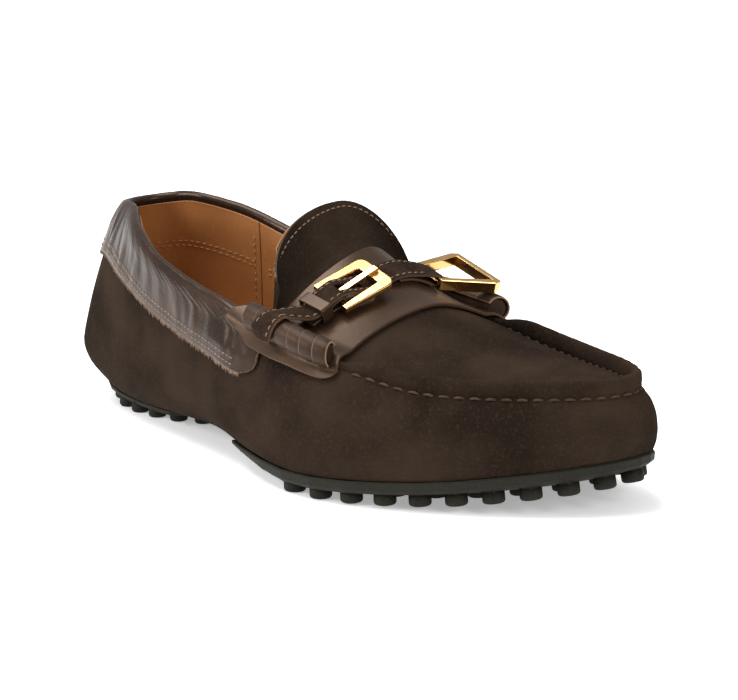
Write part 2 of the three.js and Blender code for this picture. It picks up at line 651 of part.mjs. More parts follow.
// a flat strap through stations of {point, normal}
function ribbon(stations, width, thickness) {
  const grid = (height) => stations.map(({ point, normal }, i) => {
    const before = stations[Math.max(i - 1, 0)].point;
    const after = stations[Math.min(i + 1, stations.length - 1)].point;
    const along = after.clone().sub(before).normalize();
    const side = along.clone().cross(normal).normalize();
    const up = side.clone().cross(along).normalize();
    const w = (stations[i].width ?? width) / 2;
    return [-1, 0, 1].map((k) => point.clone().addScaledVector(side, k * w).addScaledVector(up, height));
  });
  return sheet(grid(thickness / 2), grid(-thickness / 2));
}
// stations round a bar, from one swing to another, in the plane of along and up
function roundBar(centre, along, up, radius, from, to, count) {
  return sweepAngles(from, to, count).map((a) => {
    const normal = along.clone().multiplyScalar(Math.cos(a)).addScaledVector(up, Math.sin(a));
    return { point: centre.clone().addScaledVector(normal, radius), normal };
  });
}
// the frame at a place on the strap line: medial direction, up and across
function frameAt(y, height, nextY, nextHeight) {
  const here = bedAt(y, height);
  const next = bedAt(nextY, nextHeight);
  const along = next.point.clone().sub(here.point).normalize();
  const across = along.clone().cross(here.normal).normalize();
  const up = across.clone().cross(along).normalize();
  return { origin: here.point, along, across, up };
}

// ---- buckle ----
const heelBarY = -30;
const frontBarY = -10.6;
const heelBarHeight = 2.9;
// the edges of a wider strap stand higher off the crowned bed, and the bar clears them
const edgeRise = 0.06;
const frontBarHeight = 3.45 + edgeRise * strapWidth;
const buckleAt = frameAt(heelBarY, heelBarHeight, frontBarY, frontBarHeight);
const buckle = new THREE.Group();
buckle.name = 'buckle';
buckle.position.copy(buckleAt.origin);
buckle.quaternion.setFromRotationMatrix(new THREE.Matrix4().makeBasis(buckleAt.across, buckleAt.along, buckleAt.up));
shoe.add(buckle);
function makeBuckleFrame() {
  const w = buckleWidth / 2 - 0.4;
  const front = buckleLength - 2.6;
  const shape = new THREE.Shape();
  shape.moveTo(-w, -1.4);
  shape.lineTo(-w - 0.2, front - 3);
  shape.quadraticCurveTo(-w, front, -w + 3, front);
  shape.lineTo(w - 3, front);
  shape.quadraticCurveTo(w, front, w + 0.2, front - 3);
  shape.lineTo(w, -1.4);
  shape.lineTo(w - 2.0, -1.4);
  shape.lineTo(w - 3.2, front - 5.4);
  shape.quadraticCurveTo(w - 3.4, front - 4.2, w - 4.6, front - 4.2);
  shape.lineTo(-w + 4.6, front - 4.2);
  shape.quadraticCurveTo(-w + 3.4, front - 4.2, -w + 3.2, front - 5.4);
  shape.lineTo(-w + 2.0, -1.4);
  shape.closePath();
  const bevel = 0.4;
  const geometry = new THREE.ExtrudeGeometry(shape, {
    depth: buckleThickness - 2 * bevel, bevelEnabled: true, bevelSize: bevel, bevelThickness: bevel,
    bevelSegments: 2, curveSegments: 4 });
  geometry.translate(0, 0, -buckleThickness / 2 + bevel);
  const bar = new THREE.CylinderGeometry(barRadius, barRadius, buckleWidth - 2.4, 14);
  bar.rotateZ(rightAngle);
  return fromSolid(toSolid(geometry).add(toSolid(bar)));
}
addPiece('buckle_frame', makeBuckleFrame(), gold, buckle);
const prongTipY = buckleLength - 3.2;
const prongRest = buckleThickness / 2 + 0.25 + prongThickness / 2;
function makeProng() {
  const hole = barRadius + 0.2;
  const collar = new THREE.Shape();
  collar.absarc(0, 0, hole + 0.75, 0, turn, false);
  const bore = new THREE.Path();
  bore.absarc(0, 0, hole, 0, turn, true);
  collar.holes.push(bore);
  const sleeve = new THREE.ExtrudeGeometry(collar, { depth: prongWidth + 0.6, bevelEnabled: false, curveSegments: 16 });
  sleeve.translate(0, 0, -(prongWidth + 0.6) / 2);
  sleeve.rotateY(rightAngle);
  sleeve.rotateX(rightAngle);
  const side = new THREE.Shape();
  const half = prongThickness / 2;
  side.moveTo(hole + 0.15, -half + 0.3);
  side.lineTo(prongTipY - 4, prongRest - half - 0.25);
  side.lineTo(prongTipY, prongRest - half);
  side.lineTo(prongTipY + 0.3, prongRest);
  side.lineTo(prongTipY - 0.4, prongRest + half);
  side.lineTo(prongTipY - 4, prongRest + half - 0.25);
  side.lineTo(hole + 0.15, half + 0.3);
  side.closePath();
  const blade = new THREE.ExtrudeGeometry(side, { depth: prongWidth, bevelEnabled: false });
  blade.translate(0, 0, -prongWidth / 2);
  blade.rotateY(rightAngle);
  blade.rotateX(rightAngle);
  return fromSolid(toSolid(sleeve).add(toSolid(blade)));
}
addPiece('buckle_prong', makeProng(), gold, buckle);

// ---- overstrap: folded round the ring bar, under the front bar, over the heel bar, to its tip ----
const ringBarY = widthways(13.5);
const ringRestY = widthways(30.5);
const foldRadius = ringBarRadius + gap + strapThickness / 2;
const ringBarHeight = foldRadius + strapThickness / 2 + 0.35;
const foldEndY = -3;
const heelFoldRadius = barRadius + gap + thinStrapThickness / 2;
const overHeel = heelBarHeight + heelFoldRadius + thinStrapThickness / 2 + gap + strapThickness / 2 + 0.1;
const ringAt = frameAt(ringBarY, ringBarHeight, ringBarY + 3, ringBarHeight);
function onRoll(angleDegrees, x, radius) {
  const centre = rollCentre(angleAtX(x + lengthways(27.5) - 27.5));
  const a = angleDegrees * degree;
  const normal = new THREE.Vector3(0, -Math.cos(a), Math.sin(a));
  return { point: centre.addScaledVector(normal, radius), normal };
}
function makeOverstrap() {
  const low = strapThickness / 2 + 0.35;
  const stations = [foldEndY, 1, 5, 9].map((y) => bedAt(y > 0 ? widthways(y) : y, low));
  stations.forEach((station) => station.normal.negate());
  const fold = roundBar(ringAt.origin, ringAt.along, ringAt.up, foldRadius, -70 * degree, 100 * degree, 8);
  stations.push(...fold);
  stations.push(...[[widthways(8), low + 2.6], [widthways(4), low + 1.8], [0, low + 1.55], [-5, low + 1.3], [-8.5, low + 0.1],
    [-12.5, low], [-16.5, low + 0.1], [-20, low + 1.3], [-24, low + 2.9], [-27.5, overHeel - 0.25], [-30, overHeel],
    [-34, overHeel - 0.3], [-38, overHeel - 1.2], [-41, overHeel - 1.6]].map(([y, height]) => bedAt(y, height)));
  const radius = rollOuterRadius + 0.25 + gap + 0.15 + strapThickness / 2;
  const overRoll = [[88, 24.5], [70, 24], [50, 23.2], [30, 22.4], [10, 21.4], [-8, 20.2]];
  stations.push(...overRoll.map(([a, x]) => onRoll(a, x, radius)));
  stations.push({ ...onRoll(-24, 19.2, radius), width: strapWidth * 0.62 });
  stations.push({ ...onRoll(-34, 18.6, radius), width: 1.6 });
  const slot = new THREE.BoxGeometry(prongWidth + 1.4, 11.5, 12);
  slot.translate(0, 1.3 + 11.5 / 2, 1.5);
  slot.applyQuaternion(buckle.quaternion);
  slot.translate(buckle.position.x, buckle.position.y, buckle.position.z);
  return fromSolid(toSolid(ribbon(stations, strapWidth, strapThickness)).subtract(toSolid(slot)));
}
addPiece('overstrap', makeOverstrap(), strapSuede);

// ---- short strap that holds the buckle, and the keeper loop round both ----
const keeperY = -37.5;
const keeperWidth = 5;
const keeperWall = 0.8;
function makeBuckleStrap() {
  const up = buckleAt.up;
  const away = buckleAt.along.clone();
  const fold = roundBar(buckleAt.origin, away, up, heelFoldRadius, -80 * degree, 95 * degree, 8);
  const below = [[-43, 1.9], [-40, 1.9], [-36, 1.8], [-33, 1.4]].map(([y, height]) => bedAt(y, height));
  below.forEach((station) => station.normal.negate());
  const above = [[-33, 4.2], [-36, 3.35], [-40, 3.15]].map(([y, height]) => bedAt(y, height));
  const strap = toSolid(ribbon([...below, ...fold, ...above], strapWidth - 0.6, thinStrapThickness));
  const slot = new THREE.BoxGeometry(prongWidth + 1.6, 7, 9);
  slot.translate(0, 0.6, 1.2);
  slot.applyQuaternion(buckle.quaternion);
  slot.translate(buckle.position.x, buckle.position.y, buckle.position.z);
  return fromSolid(strap.subtract(toSolid(slot)));
}
addPiece('buckle_strap', makeBuckleStrap(), strapSuede);
const keeperAt = frameAt(keeperY, 0.3, keeperY + 2, 0.3);
const keeperGroup = new THREE.Group();
keeperGroup.name = 'keeper';
keeperGroup.position.copy(keeperAt.origin);
keeperGroup.quaternion.setFromRotationMatrix(new THREE.Matrix4().makeBasis(keeperAt.across, keeperAt.up, keeperAt.along.clone().negate()));
shoe.add(keeperGroup);
function makeKeeper() {
  const w = strapWidth / 2 + gap + 0.2 + keeperWall;
  const h = 6.7;
  const rectangle = (path, x, low, high, r) => {
    path.moveTo(-x + r, low);
    path.lineTo(x - r, low);
    path.quadraticCurveTo(x, low, x, low + r);
    path.lineTo(x, high - r);
    path.quadraticCurveTo(x, high, x - r, high);
    path.lineTo(-x + r, high);
    path.quadraticCurveTo(-x, high, -x, high - r);
    path.lineTo(-x, low + r);
    path.quadraticCurveTo(-x, low, -x + r, low);
  };
  const shape = new THREE.Shape();
  rectangle(shape, w, 0, h, 1);
  const hole = new THREE.Path();
  rectangle(hole, w - keeperWall, keeperWall, h - keeperWall, 0.5);
  shape.holes.push(hole);
  const geometry = new THREE.ExtrudeGeometry(shape, { depth: keeperWidth, bevelEnabled: false, curveSegments: 3 });
  return geometry.translate(0, 0, -keeperWidth / 2);
}
addPiece('strap_keeper', makeKeeper(), smoothLeather, keeperGroup);

// ---- ring: a deep four-sided gold band hung in the fold of the overstrap ----
const ringGroup = new THREE.Group();
ringGroup.name = 'ring';
ringGroup.position.copy(ringAt.origin);
// the far bar lies on the inner roll, so it rises with the roll's outer radius
const ringRest = new THREE.Vector3(lengthways(38), ringRestY, 62.2 + rollOuterRadius);
const ringFar = ringRest.clone().sub(ringAt.origin);
const ringAlong = ringFar.addScaledVector(ringAt.across, -ringFar.dot(ringAt.across)).normalize();
const ringUp = ringAt.across.clone().cross(ringAlong).normalize();
ringGroup.quaternion.setFromRotationMatrix(new THREE.Matrix4().makeBasis(ringAt.across, ringAlong, ringUp));
shoe.add(ringGroup);
// from the bar in the strap to the inner edge of the far bar: the slope adds to the level distance
const ringSlopeExtra = 2.5;
const ringReach = ringRestY - ringBarY + ringSlopeExtra;
function makeRing() {
  const nearHalf = strapWidth / 2 + 0.9;
  const farRear = -(strapWidth / 2 + 4.5);
  const farFront = strapWidth / 2 + 9;
  const b = ringBand;
  const shape = new THREE.Shape();
  shape.moveTo(-nearHalf - b, -1.2);
  shape.lineTo(farRear - b, ringReach - 1);
  shape.lineTo(farRear - b + 1, ringReach + b);
  shape.lineTo(farFront + b - 1, ringReach + b);
  shape.lineTo(farFront + b, ringReach - 1);
  shape.lineTo(nearHalf + b, -1.2);
  shape.lineTo(nearHalf, -1.2);
  shape.lineTo(farFront - 0.6, ringReach);
  shape.lineTo(farRear + 0.4, ringReach);
  shape.lineTo(-nearHalf, -1.2);
  shape.closePath();
  const bevel = 0.3;
  const band = new THREE.ExtrudeGeometry(shape, {
    depth: ringDepth - 2 * bevel, bevelEnabled: true, bevelSize: 0.25, bevelThickness: bevel, bevelSegments: 1 });
  band.translate(0, 0, -ringDepth / 2 + bevel);
  const nearBar = new THREE.CylinderGeometry(ringBarRadius, ringBarRadius, 2 * nearHalf + 2, 14);
  nearBar.rotateZ(rightAngle);
  return fromSolid(toSolid(band).add(toSolid(nearBar)));
}
addPiece('ring', makeRing(), gold, ringGroup);

// ---- the origin is the middle of the whole shoe, on the ground ----
const whole = new THREE.Group();
whole.name = 'moccasin';
whole.add(shoe);
const bounds = new THREE.Box3().setFromObject(shoe, true);
const centre = bounds.getCenter(new THREE.Vector3());
shoe.position.set(-centre.x, -centre.y, 0);

export default whole;
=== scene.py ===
import math
import bpy
import bmesh
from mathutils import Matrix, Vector, noise
from mathutils.bvhtree import BVHTree


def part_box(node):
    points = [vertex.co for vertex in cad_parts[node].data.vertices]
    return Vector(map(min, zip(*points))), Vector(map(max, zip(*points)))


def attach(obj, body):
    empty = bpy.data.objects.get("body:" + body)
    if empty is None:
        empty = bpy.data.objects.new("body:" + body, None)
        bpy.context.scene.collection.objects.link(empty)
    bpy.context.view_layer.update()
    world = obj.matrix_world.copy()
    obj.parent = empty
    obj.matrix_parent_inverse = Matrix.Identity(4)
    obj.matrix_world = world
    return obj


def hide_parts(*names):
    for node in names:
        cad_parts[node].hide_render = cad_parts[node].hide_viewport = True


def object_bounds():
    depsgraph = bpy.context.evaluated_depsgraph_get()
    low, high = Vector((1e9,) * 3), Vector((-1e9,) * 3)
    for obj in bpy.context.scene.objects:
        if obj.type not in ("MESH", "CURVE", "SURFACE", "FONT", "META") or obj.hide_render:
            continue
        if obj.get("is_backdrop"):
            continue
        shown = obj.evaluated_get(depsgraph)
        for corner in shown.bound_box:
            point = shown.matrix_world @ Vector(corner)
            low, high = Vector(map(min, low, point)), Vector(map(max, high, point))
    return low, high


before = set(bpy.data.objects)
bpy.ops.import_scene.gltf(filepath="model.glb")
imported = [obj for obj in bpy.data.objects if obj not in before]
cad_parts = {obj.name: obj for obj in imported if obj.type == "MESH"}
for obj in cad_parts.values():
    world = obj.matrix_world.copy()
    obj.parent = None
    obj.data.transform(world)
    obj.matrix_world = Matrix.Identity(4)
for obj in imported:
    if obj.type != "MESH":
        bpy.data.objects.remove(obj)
cadLow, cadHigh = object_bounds()
print("frame loaded")

# lengths below are in millimetres, in the shoe's own frame, and turned into metres in place()
shoe = {
    "length": 280,
    "gap": 0.3,
    "suede": 1.6,
    "lining": 1.0,
    "counter": 1.2,
    "board": 1.4,
    "foam": 3,
    "sock": 1.1,
    "ridgeThick": 4.2,
    "ridgeHigh": 7.4,
    "ridgeCrushed": 3.2,
    "saddle": 1.5,
    "cuff": 1.2,
    "cuffDepth": 20,
    "cuffTurnIn": 3.4,
    "rollOuter": 5.0,
    "rollCoils": 7,
    "strapWide": 10,
    "strapThick": 1.2,
    "thinStrap": 0.9,
}
halfLength = shoe["length"] / 2
gap = shoe["gap"]
suedeThick = shoe["suede"]
turn = math.pi * 2
rightAngle = math.pi / 2


def mix(a, b, t):
    return a + (b - a) * t


def clamp(t):
    return min(max(t, 0), 1)


def easeInOut(t):
    return t * t * (3 - 2 * t)


def xAt(angle):
    return halfLength * math.cos(angle)


def outAt(angle, rise=0):
    # the level direction out of the shoe's wall
    return Vector((math.cos(angle), -math.sin(angle), rise)).normalized()


def through(stations):
    # a smooth curve through [share of half the length, value] stations
    last = len(stations) - 1
    slopes = []
    for i in range(last + 1):
        before = stations[max(i - 1, 0)]
        after = stations[min(i + 1, last)]
        slopes.append((after[1] - before[1]) / (after[0] - before[0]))

    def value(x):
        share = min(max(x / halfLength, stations[0][0]), stations[last][0])
        i = 0
        while i < last - 1 and share > stations[i + 1][0]:
            i += 1
        span = stations[i + 1][0] - stations[i][0]
        t = (share - stations[i][0]) / span
        t2 = t * t
        t3 = t2 * t
        return (
            (2 * t3 - 3 * t2 + 1) * stations[i][1]
            + (t3 - 2 * t2 + t) * span * slopes[i]
            + (3 * t2 - 2 * t3) * stations[i + 1][1]
            + (t3 - t2) * span * slopes[i + 1]
        )

    return value


spineY = through([[-1, 2.5], [-0.42, -2.5], [0, -5], [0.42, -3], [1, 13]])
outerHalfWidth = through([[-1, 63], [-0.93, 56], [-0.8, 47.5], [-0.6, 44], [-0.245, 45], [0.035, 52],
                          [0.315, 61], [0.594, 62], [0.804, 60], [0.94, 61], [1, 66]])
innerHalfWidth = through([[-1, 63], [-0.93, 56], [-0.8, 46.5], [-0.6, 42], [-0.245, 38.5], [0.035, 39.5],
                          [0.315, 46.5], [0.594, 55], [0.804, 53], [0.94, 53], [1, 56]])
featherHeight = through([[-1, 16], [-0.77, 7.5], [-0.42, 8], [-0.07, 10], [0.28, 9], [0.63, 12],
                         [0.84, 16.5], [1, 21]])
featherInset = through([[-1, 7], [-0.7, 10], [-0.28, 11.5], [0.07, 3.2], [0.42, 2], [1, 1.6]])
undersideHeight = through([[-1, 14], [-0.77, 6.2], [-0.42, 6.6], [-0.07, 9], [0.28, 7.6], [0.63, 10],
                           [0.84, 14.2], [1, 19]])
bulgeHeight = through([[-1, 24], [-0.63, 22], [0, 26], [0.42, 24], [1, 28]])
seamInset = through([[-1, 17], [-0.84, 14], [-0.63, 5.5], [-0.42, 1.5], [-0.14, 3], [0.07, 8], [0.35, 9.5],
                     [0.63, 7.8], [1, 6.3]])
crestInset = through([[-1, 21], [-0.84, 18], [-0.63, 7], [-0.42, 2], [-0.14, 4], [0.07, 8.8], [0.35, 10.2],
                      [0.63, 8.4], [1, 7]])
outerSeamHeight = through([[-1, 72.5], [-0.84, 74.5], [-0.63, 70.5], [-0.42, 62.5], [-0.175, 56],
                           [0.056, 54.5], [0.385, 48], [0.63, 41.4], [1, 41.5]])
innerSeamHeight = through([[-1, 72.5], [-0.84, 74.5], [-0.63, 70.5], [-0.42, 63], [-0.175, 57.5], [0.056, 57],
                           [0.385, 51], [0.63, 43], [1, 41.5]])
ridgeRise = through([[-1, shoe["ridgeHigh"]], [-0.14, shoe["ridgeHigh"]], [0.035, shoe["ridgeCrushed"]],
                     [0.4, shoe["ridgeCrushed"]], [0.5, shoe["ridgeHigh"]], [1, shoe["ridgeHigh"]]])
ridgeWide = through([[-1, suedeThick], [-0.1, suedeThick], [0.06, 3], [0.4, 3], [0.5, shoe["ridgeThick"]],
                     [1, shoe["ridgeThick"]]])
crownShare = through([[0, 0.66], [0.35, 0.63], [0.63, 0.56], [1, 0.5]])
crownHeight = through([[0.05, 83], [0.09, 80.2], [0.21, 70], [0.333, 61.5], [0.49, 54.5], [0.63, 50.5],
                       [0.79, 47], [0.93, 45.5]])
middleLean = through([[-1, 0.34], [-0.8, 0.24], [-0.6, 0.12], [-0.4, 0.1], [1, 0.1]])
upperLean = through([[-1, 0.7], [-0.8, 0.6], [-0.6, 0.46], [-0.4, 0.42], [1, 0.42]])
archPower = through([[0.07, 1.6], [0.35, 1.8], [0.63, 2.2], [1, 2.2]])


def angleAtX(x):
    return math.acos(x / halfLength)


def onLevel(angle, inset, height):
    # angle 0 is the toe tip, a quarter turn the outer side, a half turn the heel
    c = math.cos(angle)
    s = math.sin(angle)
    x = halfLength * c
    half = outerHalfWidth(x) if s >= 0 else innerHalfWidth(x)
    return Vector((x - inset * c, spineY(x) - half * s + inset * s, height))


def seamHeightAt(angle):
    x = xAt(angle)
    return outerSeamHeight(x) if math.sin(angle) >= 0 else innerSeamHeight(x)


def wallRows(angle):
    x = xAt(angle)
    seam = seamHeightAt(angle)
    low = featherHeight(x)
    bulge = bulgeHeight(x)
    inset = seamInset(x)
    rise = ridgeRise(x)
    return [
        (featherInset(x), low),
        (featherInset(x) * 0.3, mix(low, bulge, 0.45)),
        (0, bulge),
        (inset * middleLean(x), mix(bulge, seam, 0.4)),
        (inset * upperLean(x), mix(bulge, seam, 0.75)),
        (inset, seam),
        (mix(inset, crestInset(x), 0.5), seam + rise * 0.5),
        (crestInset(x), seam + rise - 0.8),
    ]


def wallPoint(angle, row, outward):
    rows = wallRows(angle)
    i = min(max(math.floor(row), 0), len(rows) - 2)
    t = row - i
    return onLevel(angle, mix(rows[i][0], rows[i + 1][0], t) - outward, mix(rows[i][1], rows[i + 1][1], t))


def rowAtDepth(angle, depth):
    rows = wallRows(angle)
    height = rows[7][1] + 0.8 - depth
    for i in range(6, 0, -1):
        if rows[i][1] <= height:
            return i + (height - rows[i][1]) / (rows[i + 1][1] - rows[i][1])
    return 0


def crestHeightAt(angle):
    return seamHeightAt(angle) + ridgeRise(xAt(angle))


# the CAD centres the whole shoe, so the shift comes from the wrap's own box
wrapLow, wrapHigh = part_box("upper_wrap")
widestOuter = min(wallPoint(i / 56 * turn, 2, 0).y for i in range(56))
shoeShift = Vector((wrapHigh.x * 1000 - halfLength, wrapLow.y * 1000 - widestOuter, 0))
print("shoe shift in mm", [round(v, 2) for v in shoeShift])


def place(point):
    return (point + shoeShift) * 0.001


# materials
def hexColour(text):
    def linear(c):
        return c / 12.92 if c <= 0.04045 else ((c + 0.055) / 1.055) ** 2.4

    return tuple(linear(int(text[i:i + 2], 16) / 255) for i in (0, 2, 4)) + (1,)


def finish(name, look):
    material = bpy.data.materials.new(name)
    material.use_nodes = True
    nodes = material.node_tree.nodes
    links = material.node_tree.links
    shader = nodes["Principled BSDF"]
    where = nodes.new("ShaderNodeTexCoord")

    def node(kind, settings):
        made = nodes.new(kind)
        for socket, value in settings.items():
            made.inputs[socket].default_value = value
        return made

    def cloud(scale, detail):
        made = node("ShaderNodeTexNoise", {"Scale": scale, "Detail": detail})
        links.new(where.outputs["Object"], made.inputs["Vector"])
        return made.outputs["Fac"]

    def blended(amount, under, over, low=0.35, high=0.65):
        ramp = node("ShaderNodeMapRange", {"From Min": low, "From Max": high})
        links.new(amount, ramp.inputs["Value"])
        both = nodes.new("ShaderNodeMix")
        both.data_type = "RGBA"
        links.new(ramp.outputs["Result"], both.inputs["Factor"])
        for value, socket in ((under, both.inputs[6]), (over, both.inputs[7])):
            if isinstance(value, tuple):
                socket.default_value = value
            else:
                links.new(value, socket)
        return both.outputs[2]

    def bumped(height, strength):
        made = node("ShaderNodeBump", {"Strength": strength, "Distance": look["bumpDeep"]})
        links.new(height, made.inputs["Height"])
        return made

    patches = cloud(look["patchScale"], 4)
    colour = blended(patches, hexColour(look["colour"]), hexColour(look["second"]))
    colour = blended(cloud(look["fleckScale"], 2), colour, hexColour(look["fleck"]), 0.52, 0.95)
    if look.get("edge"):
        rim = nodes.new("ShaderNodeAttribute")
        rim.attribute_name = "rawEdge"
        colour = blended(rim.outputs["Fac"], colour, hexColour(look["edge"]), 0.25, 1.0)
    links.new(colour, shader.inputs["Base Color"])
    rough = node("ShaderNodeMapRange", {"To Min": look["rough"][0], "To Max": look["rough"][1]})
    links.new(patches, rough.inputs["Value"])
    links.new(rough.outputs["Result"], shader.inputs["Roughness"])
    shader.inputs["Metallic"].default_value = look.get("metal", 0)
    shader.inputs["Sheen Weight"].default_value = look.get("sheen", 0)
    shader.inputs["Sheen Roughness"].default_value = 0.45
    shader.inputs["Sheen Tint"].default_value = hexColour(look.get("sheenTint", "b09a86"))
    shader.inputs["Coat Weight"].default_value = look.get("coat", 0)
    shader.inputs["Coat Roughness"].default_value = 0.22
    shader.inputs["Specular IOR Level"].default_value = look.get("specular", 0.5)
    shader.inputs["Specular Tint"].default_value = hexColour(look.get("tint", "ffffff"))
    relief = bumped(cloud(look["napScale"], 2), look["bump"])
    if look.get("grain"):
        cells = node("ShaderNodeTexVoronoi", {"Scale": look["grain"]})
        links.new(where.outputs["Object"], cells.inputs["Vector"])
        pebble = bumped(cells.outputs["Distance"], look["grainBump"])
        links.new(relief.outputs["Normal"], pebble.inputs["Normal"])
        relief = pebble
    links.new(relief.outputs["Normal"], shader.inputs["Normal"])
    return material


looks = {
    "suede": {
        "colour": "1d1611", "second": "30261e", "fleck": "382c23", "edge": "463a30", "patchScale": 34,
        "fleckScale": 900, "rough": (0.94, 1.0), "sheen": 0.02, "sheenTint": "8a7464", "specular": 0.025,
        "napScale": 1500, "bump": 0.7, "bumpDeep": 0.00045,
    },
    "strapSuede": {
        "colour": "20170f", "second": "2f231c", "fleck": "3e3027", "edge": "554234", "patchScale": 120,
        "fleckScale": 600, "rough": (0.9, 0.98), "sheen": 0.03, "sheenTint": "8a7464", "specular": 0.05,
        "napScale": 1700, "bump": 0.6, "bumpDeep": 0.0004,
    },
    "saddleLeather": {
        "colour": "281b13", "second": "34251a", "fleck": "3b2a1e", "edge": "4a3728", "patchScale": 45,
        "fleckScale": 700, "rough": (0.26, 0.38), "coat": 0.05, "specular": 0.5, "tint": "d8b08c",
        "napScale": 700, "bump": 0.14, "bumpDeep": 0.00014, "grain": 1300, "grainBump": 0.14,
    },
    "cuffLeather": {
        "colour": "1c130e", "second": "281b14", "fleck": "31231b", "edge": "6c543f", "patchScale": 60,
        "fleckScale": 700, "rough": (0.2, 0.34), "coat": 0.05, "specular": 0.34, "tint": "e0bfa4",
        "napScale": 420, "bump": 0.24, "bumpDeep": 0.00022, "grain": 1100, "grainBump": 0.12,
    },
    "laceLeather": {
        "colour": "241912", "second": "30221a", "fleck": "3c2d23", "edge": "8a6c54", "patchScale": 110,
        "fleckScale": 900, "rough": (0.4, 0.56), "coat": 0.02, "specular": 0.26, "tint": "e0bfa4",
        "napScale": 1200, "bump": 0.28, "bumpDeep": 0.00018,
    },
    "tanLining": {
        "colour": "96602f", "second": "a56d3a", "fleck": "b17a48", "edge": "7d5029", "patchScale": 35,
        "fleckScale": 900, "rough": (0.5, 0.66), "napScale": 900, "bump": 0.25, "bumpDeep": 0.00014,
        "grain": 1500, "grainBump": 0.18,
    },
    "rubber": {
        "colour": "191812", "second": "201e17", "fleck": "29271f", "patchScale": 70, "fleckScale": 900,
        "rough": (0.55, 0.72), "specular": 0.15, "napScale": 1200, "bump": 0.35, "bumpDeep": 0.00025,
        "grain": 900, "grainBump": 0.3,
    },
    "gold": {
        "colour": "dcae6c", "second": "e3b97b", "fleck": "eac790", "patchScale": 60, "fleckScale": 900,
        "rough": (0.1, 0.2), "metal": 1, "napScale": 1600, "bump": 0.03, "bumpDeep": 0.00004,
    },
    "thread": {
        "colour": "7d6350", "second": "695342", "fleck": "967c65", "patchScale": 400, "fleckScale": 4000,
        "rough": (0.7, 0.85), "napScale": 6000, "bump": 0.5, "bumpDeep": 0.0001,
    },
    "tanThread": {
        "colour": "a87a4a", "second": "966b3e", "fleck": "bd9060", "patchScale": 400, "fleckScale": 4000,
        "rough": (0.6, 0.8), "napScale": 6000, "bump": 0.5, "bumpDeep": 0.0001,
    },
    "handThread": {
        "colour": "49362a", "second": "3b2b21", "fleck": "5f4939", "patchScale": 300, "fleckScale": 2600,
        "rough": (0.7, 0.88), "specular": 0.12, "napScale": 4000, "bump": 0.7, "bumpDeep": 0.00015,
    },
    "foam": {
        "colour": "d8d0bd", "second": "cfc6b2", "fleck": "e2dccb", "patchScale": 80, "fleckScale": 1500,
        "rough": (0.9, 1.0), "napScale": 1800, "bump": 0.5, "bumpDeep": 0.0003,
    },
    "board": {
        "colour": "b39a74", "second": "a68d68", "fleck": "c4ad88", "patchScale": 60, "fleckScale": 1400,
        "rough": (0.8, 0.92), "napScale": 1600, "bump": 0.4, "bumpDeep": 0.0002,
    },
}
materials = {name: finish(name, look) for name, look in looks.items()}
print("materials made")


# meshes
def makePiece(name, points, faces, material, body="shoe", subdivide=0, edgeWeights=None, metres=False):
    mesh = bpy.data.meshes.new(name)
    mesh.from_pydata([p if metres else place(p) for p in points], [], faces)
    if edgeWeights:
        raw = mesh.attributes.new("rawEdge", "FLOAT", "POINT")
        raw.data.foreach_set("value", edgeWeights)
    built = bmesh.new()
    built.from_mesh(mesh)
    bmesh.ops.recalc_face_normals(built, faces=built.faces)
    built.to_mesh(mesh)
    built.free()
    for polygon in mesh.polygons:
        polygon.use_smooth = True
    mesh.materials.append(materials[material])
    piece = bpy.data.objects.new(name, mesh)
    bpy.context.scene.collection.objects.link(piece)
    if subdivide:
        smooth = piece.modifiers.new("smooth", "SUBSURF")
        smooth.levels = subdivide
        smooth.render_levels = subdivide
    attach(piece, body)
    return piece


def spread(a, b, count, rim=0.004):
    # even steps with an extra one just inside each end, which keeps the cut edge crisp
    steps = [i / count for i in range(count + 1)]
    steps[1:1] = [rim]
    steps[-1:-1] = [1 - rim]
    return [mix(a, b, t) for t in steps]


def sheetPiece(name, outside, inside, material, body="shoe", subdivide=1, closed=False, skip=None):
    rows = len(outside)
    columns = len(outside[0])
    far = rows * columns
    points = [p for row in outside for p in row] + [p for row in inside for p in row]
    faces = []
    spans = rows if closed else rows - 1
    solid = {(r, c) for r in range(spans) for c in range(columns - 1) if not (skip and skip(r, c))}
    for r, c in sorted(solid):
        after = (r + 1) % rows
        a = r * columns + c
        b = after * columns + c
        d = b + 1
        e = a + 1
        faces.append((a, b, d, e))
        faces.append((far + a, far + e, far + d, far + b))
        above = (r - 1) % rows if closed else r - 1
        below = after if closed else r + 1
        sides = {(r, c - 1): (a, b), (r, c + 1): (e, d), (above, c): (a, e), (below, c): (b, d)}
        for neighbour, (p, q) in sides.items():
            if neighbour not in solid:
                faces.append((p, q, far + q, far + p))
    weights = []
    for side in range(2):
        for r in range(rows):
            for c in range(columns):
                rim = c in (0, columns - 1) or (not closed and r in (0, rows - 1))
                weights.append(1.0 if rim else 0.0)
    return makePiece(name, points, faces, material, body, subdivide, weights)


def tubeFaces(first, rings, sides):
    faces = []
    for k in range(rings - 1):
        here = first + k * sides
        for s in range(sides):
            n = (s + 1) % sides
            faces.append((here + s, here + n, here + sides + n, here + sides + s))
    end = first + (rings - 1) * sides
    faces.append(tuple(first + s for s in reversed(range(sides))))
    faces.append(tuple(end + s for s in range(sides)))
    return faces


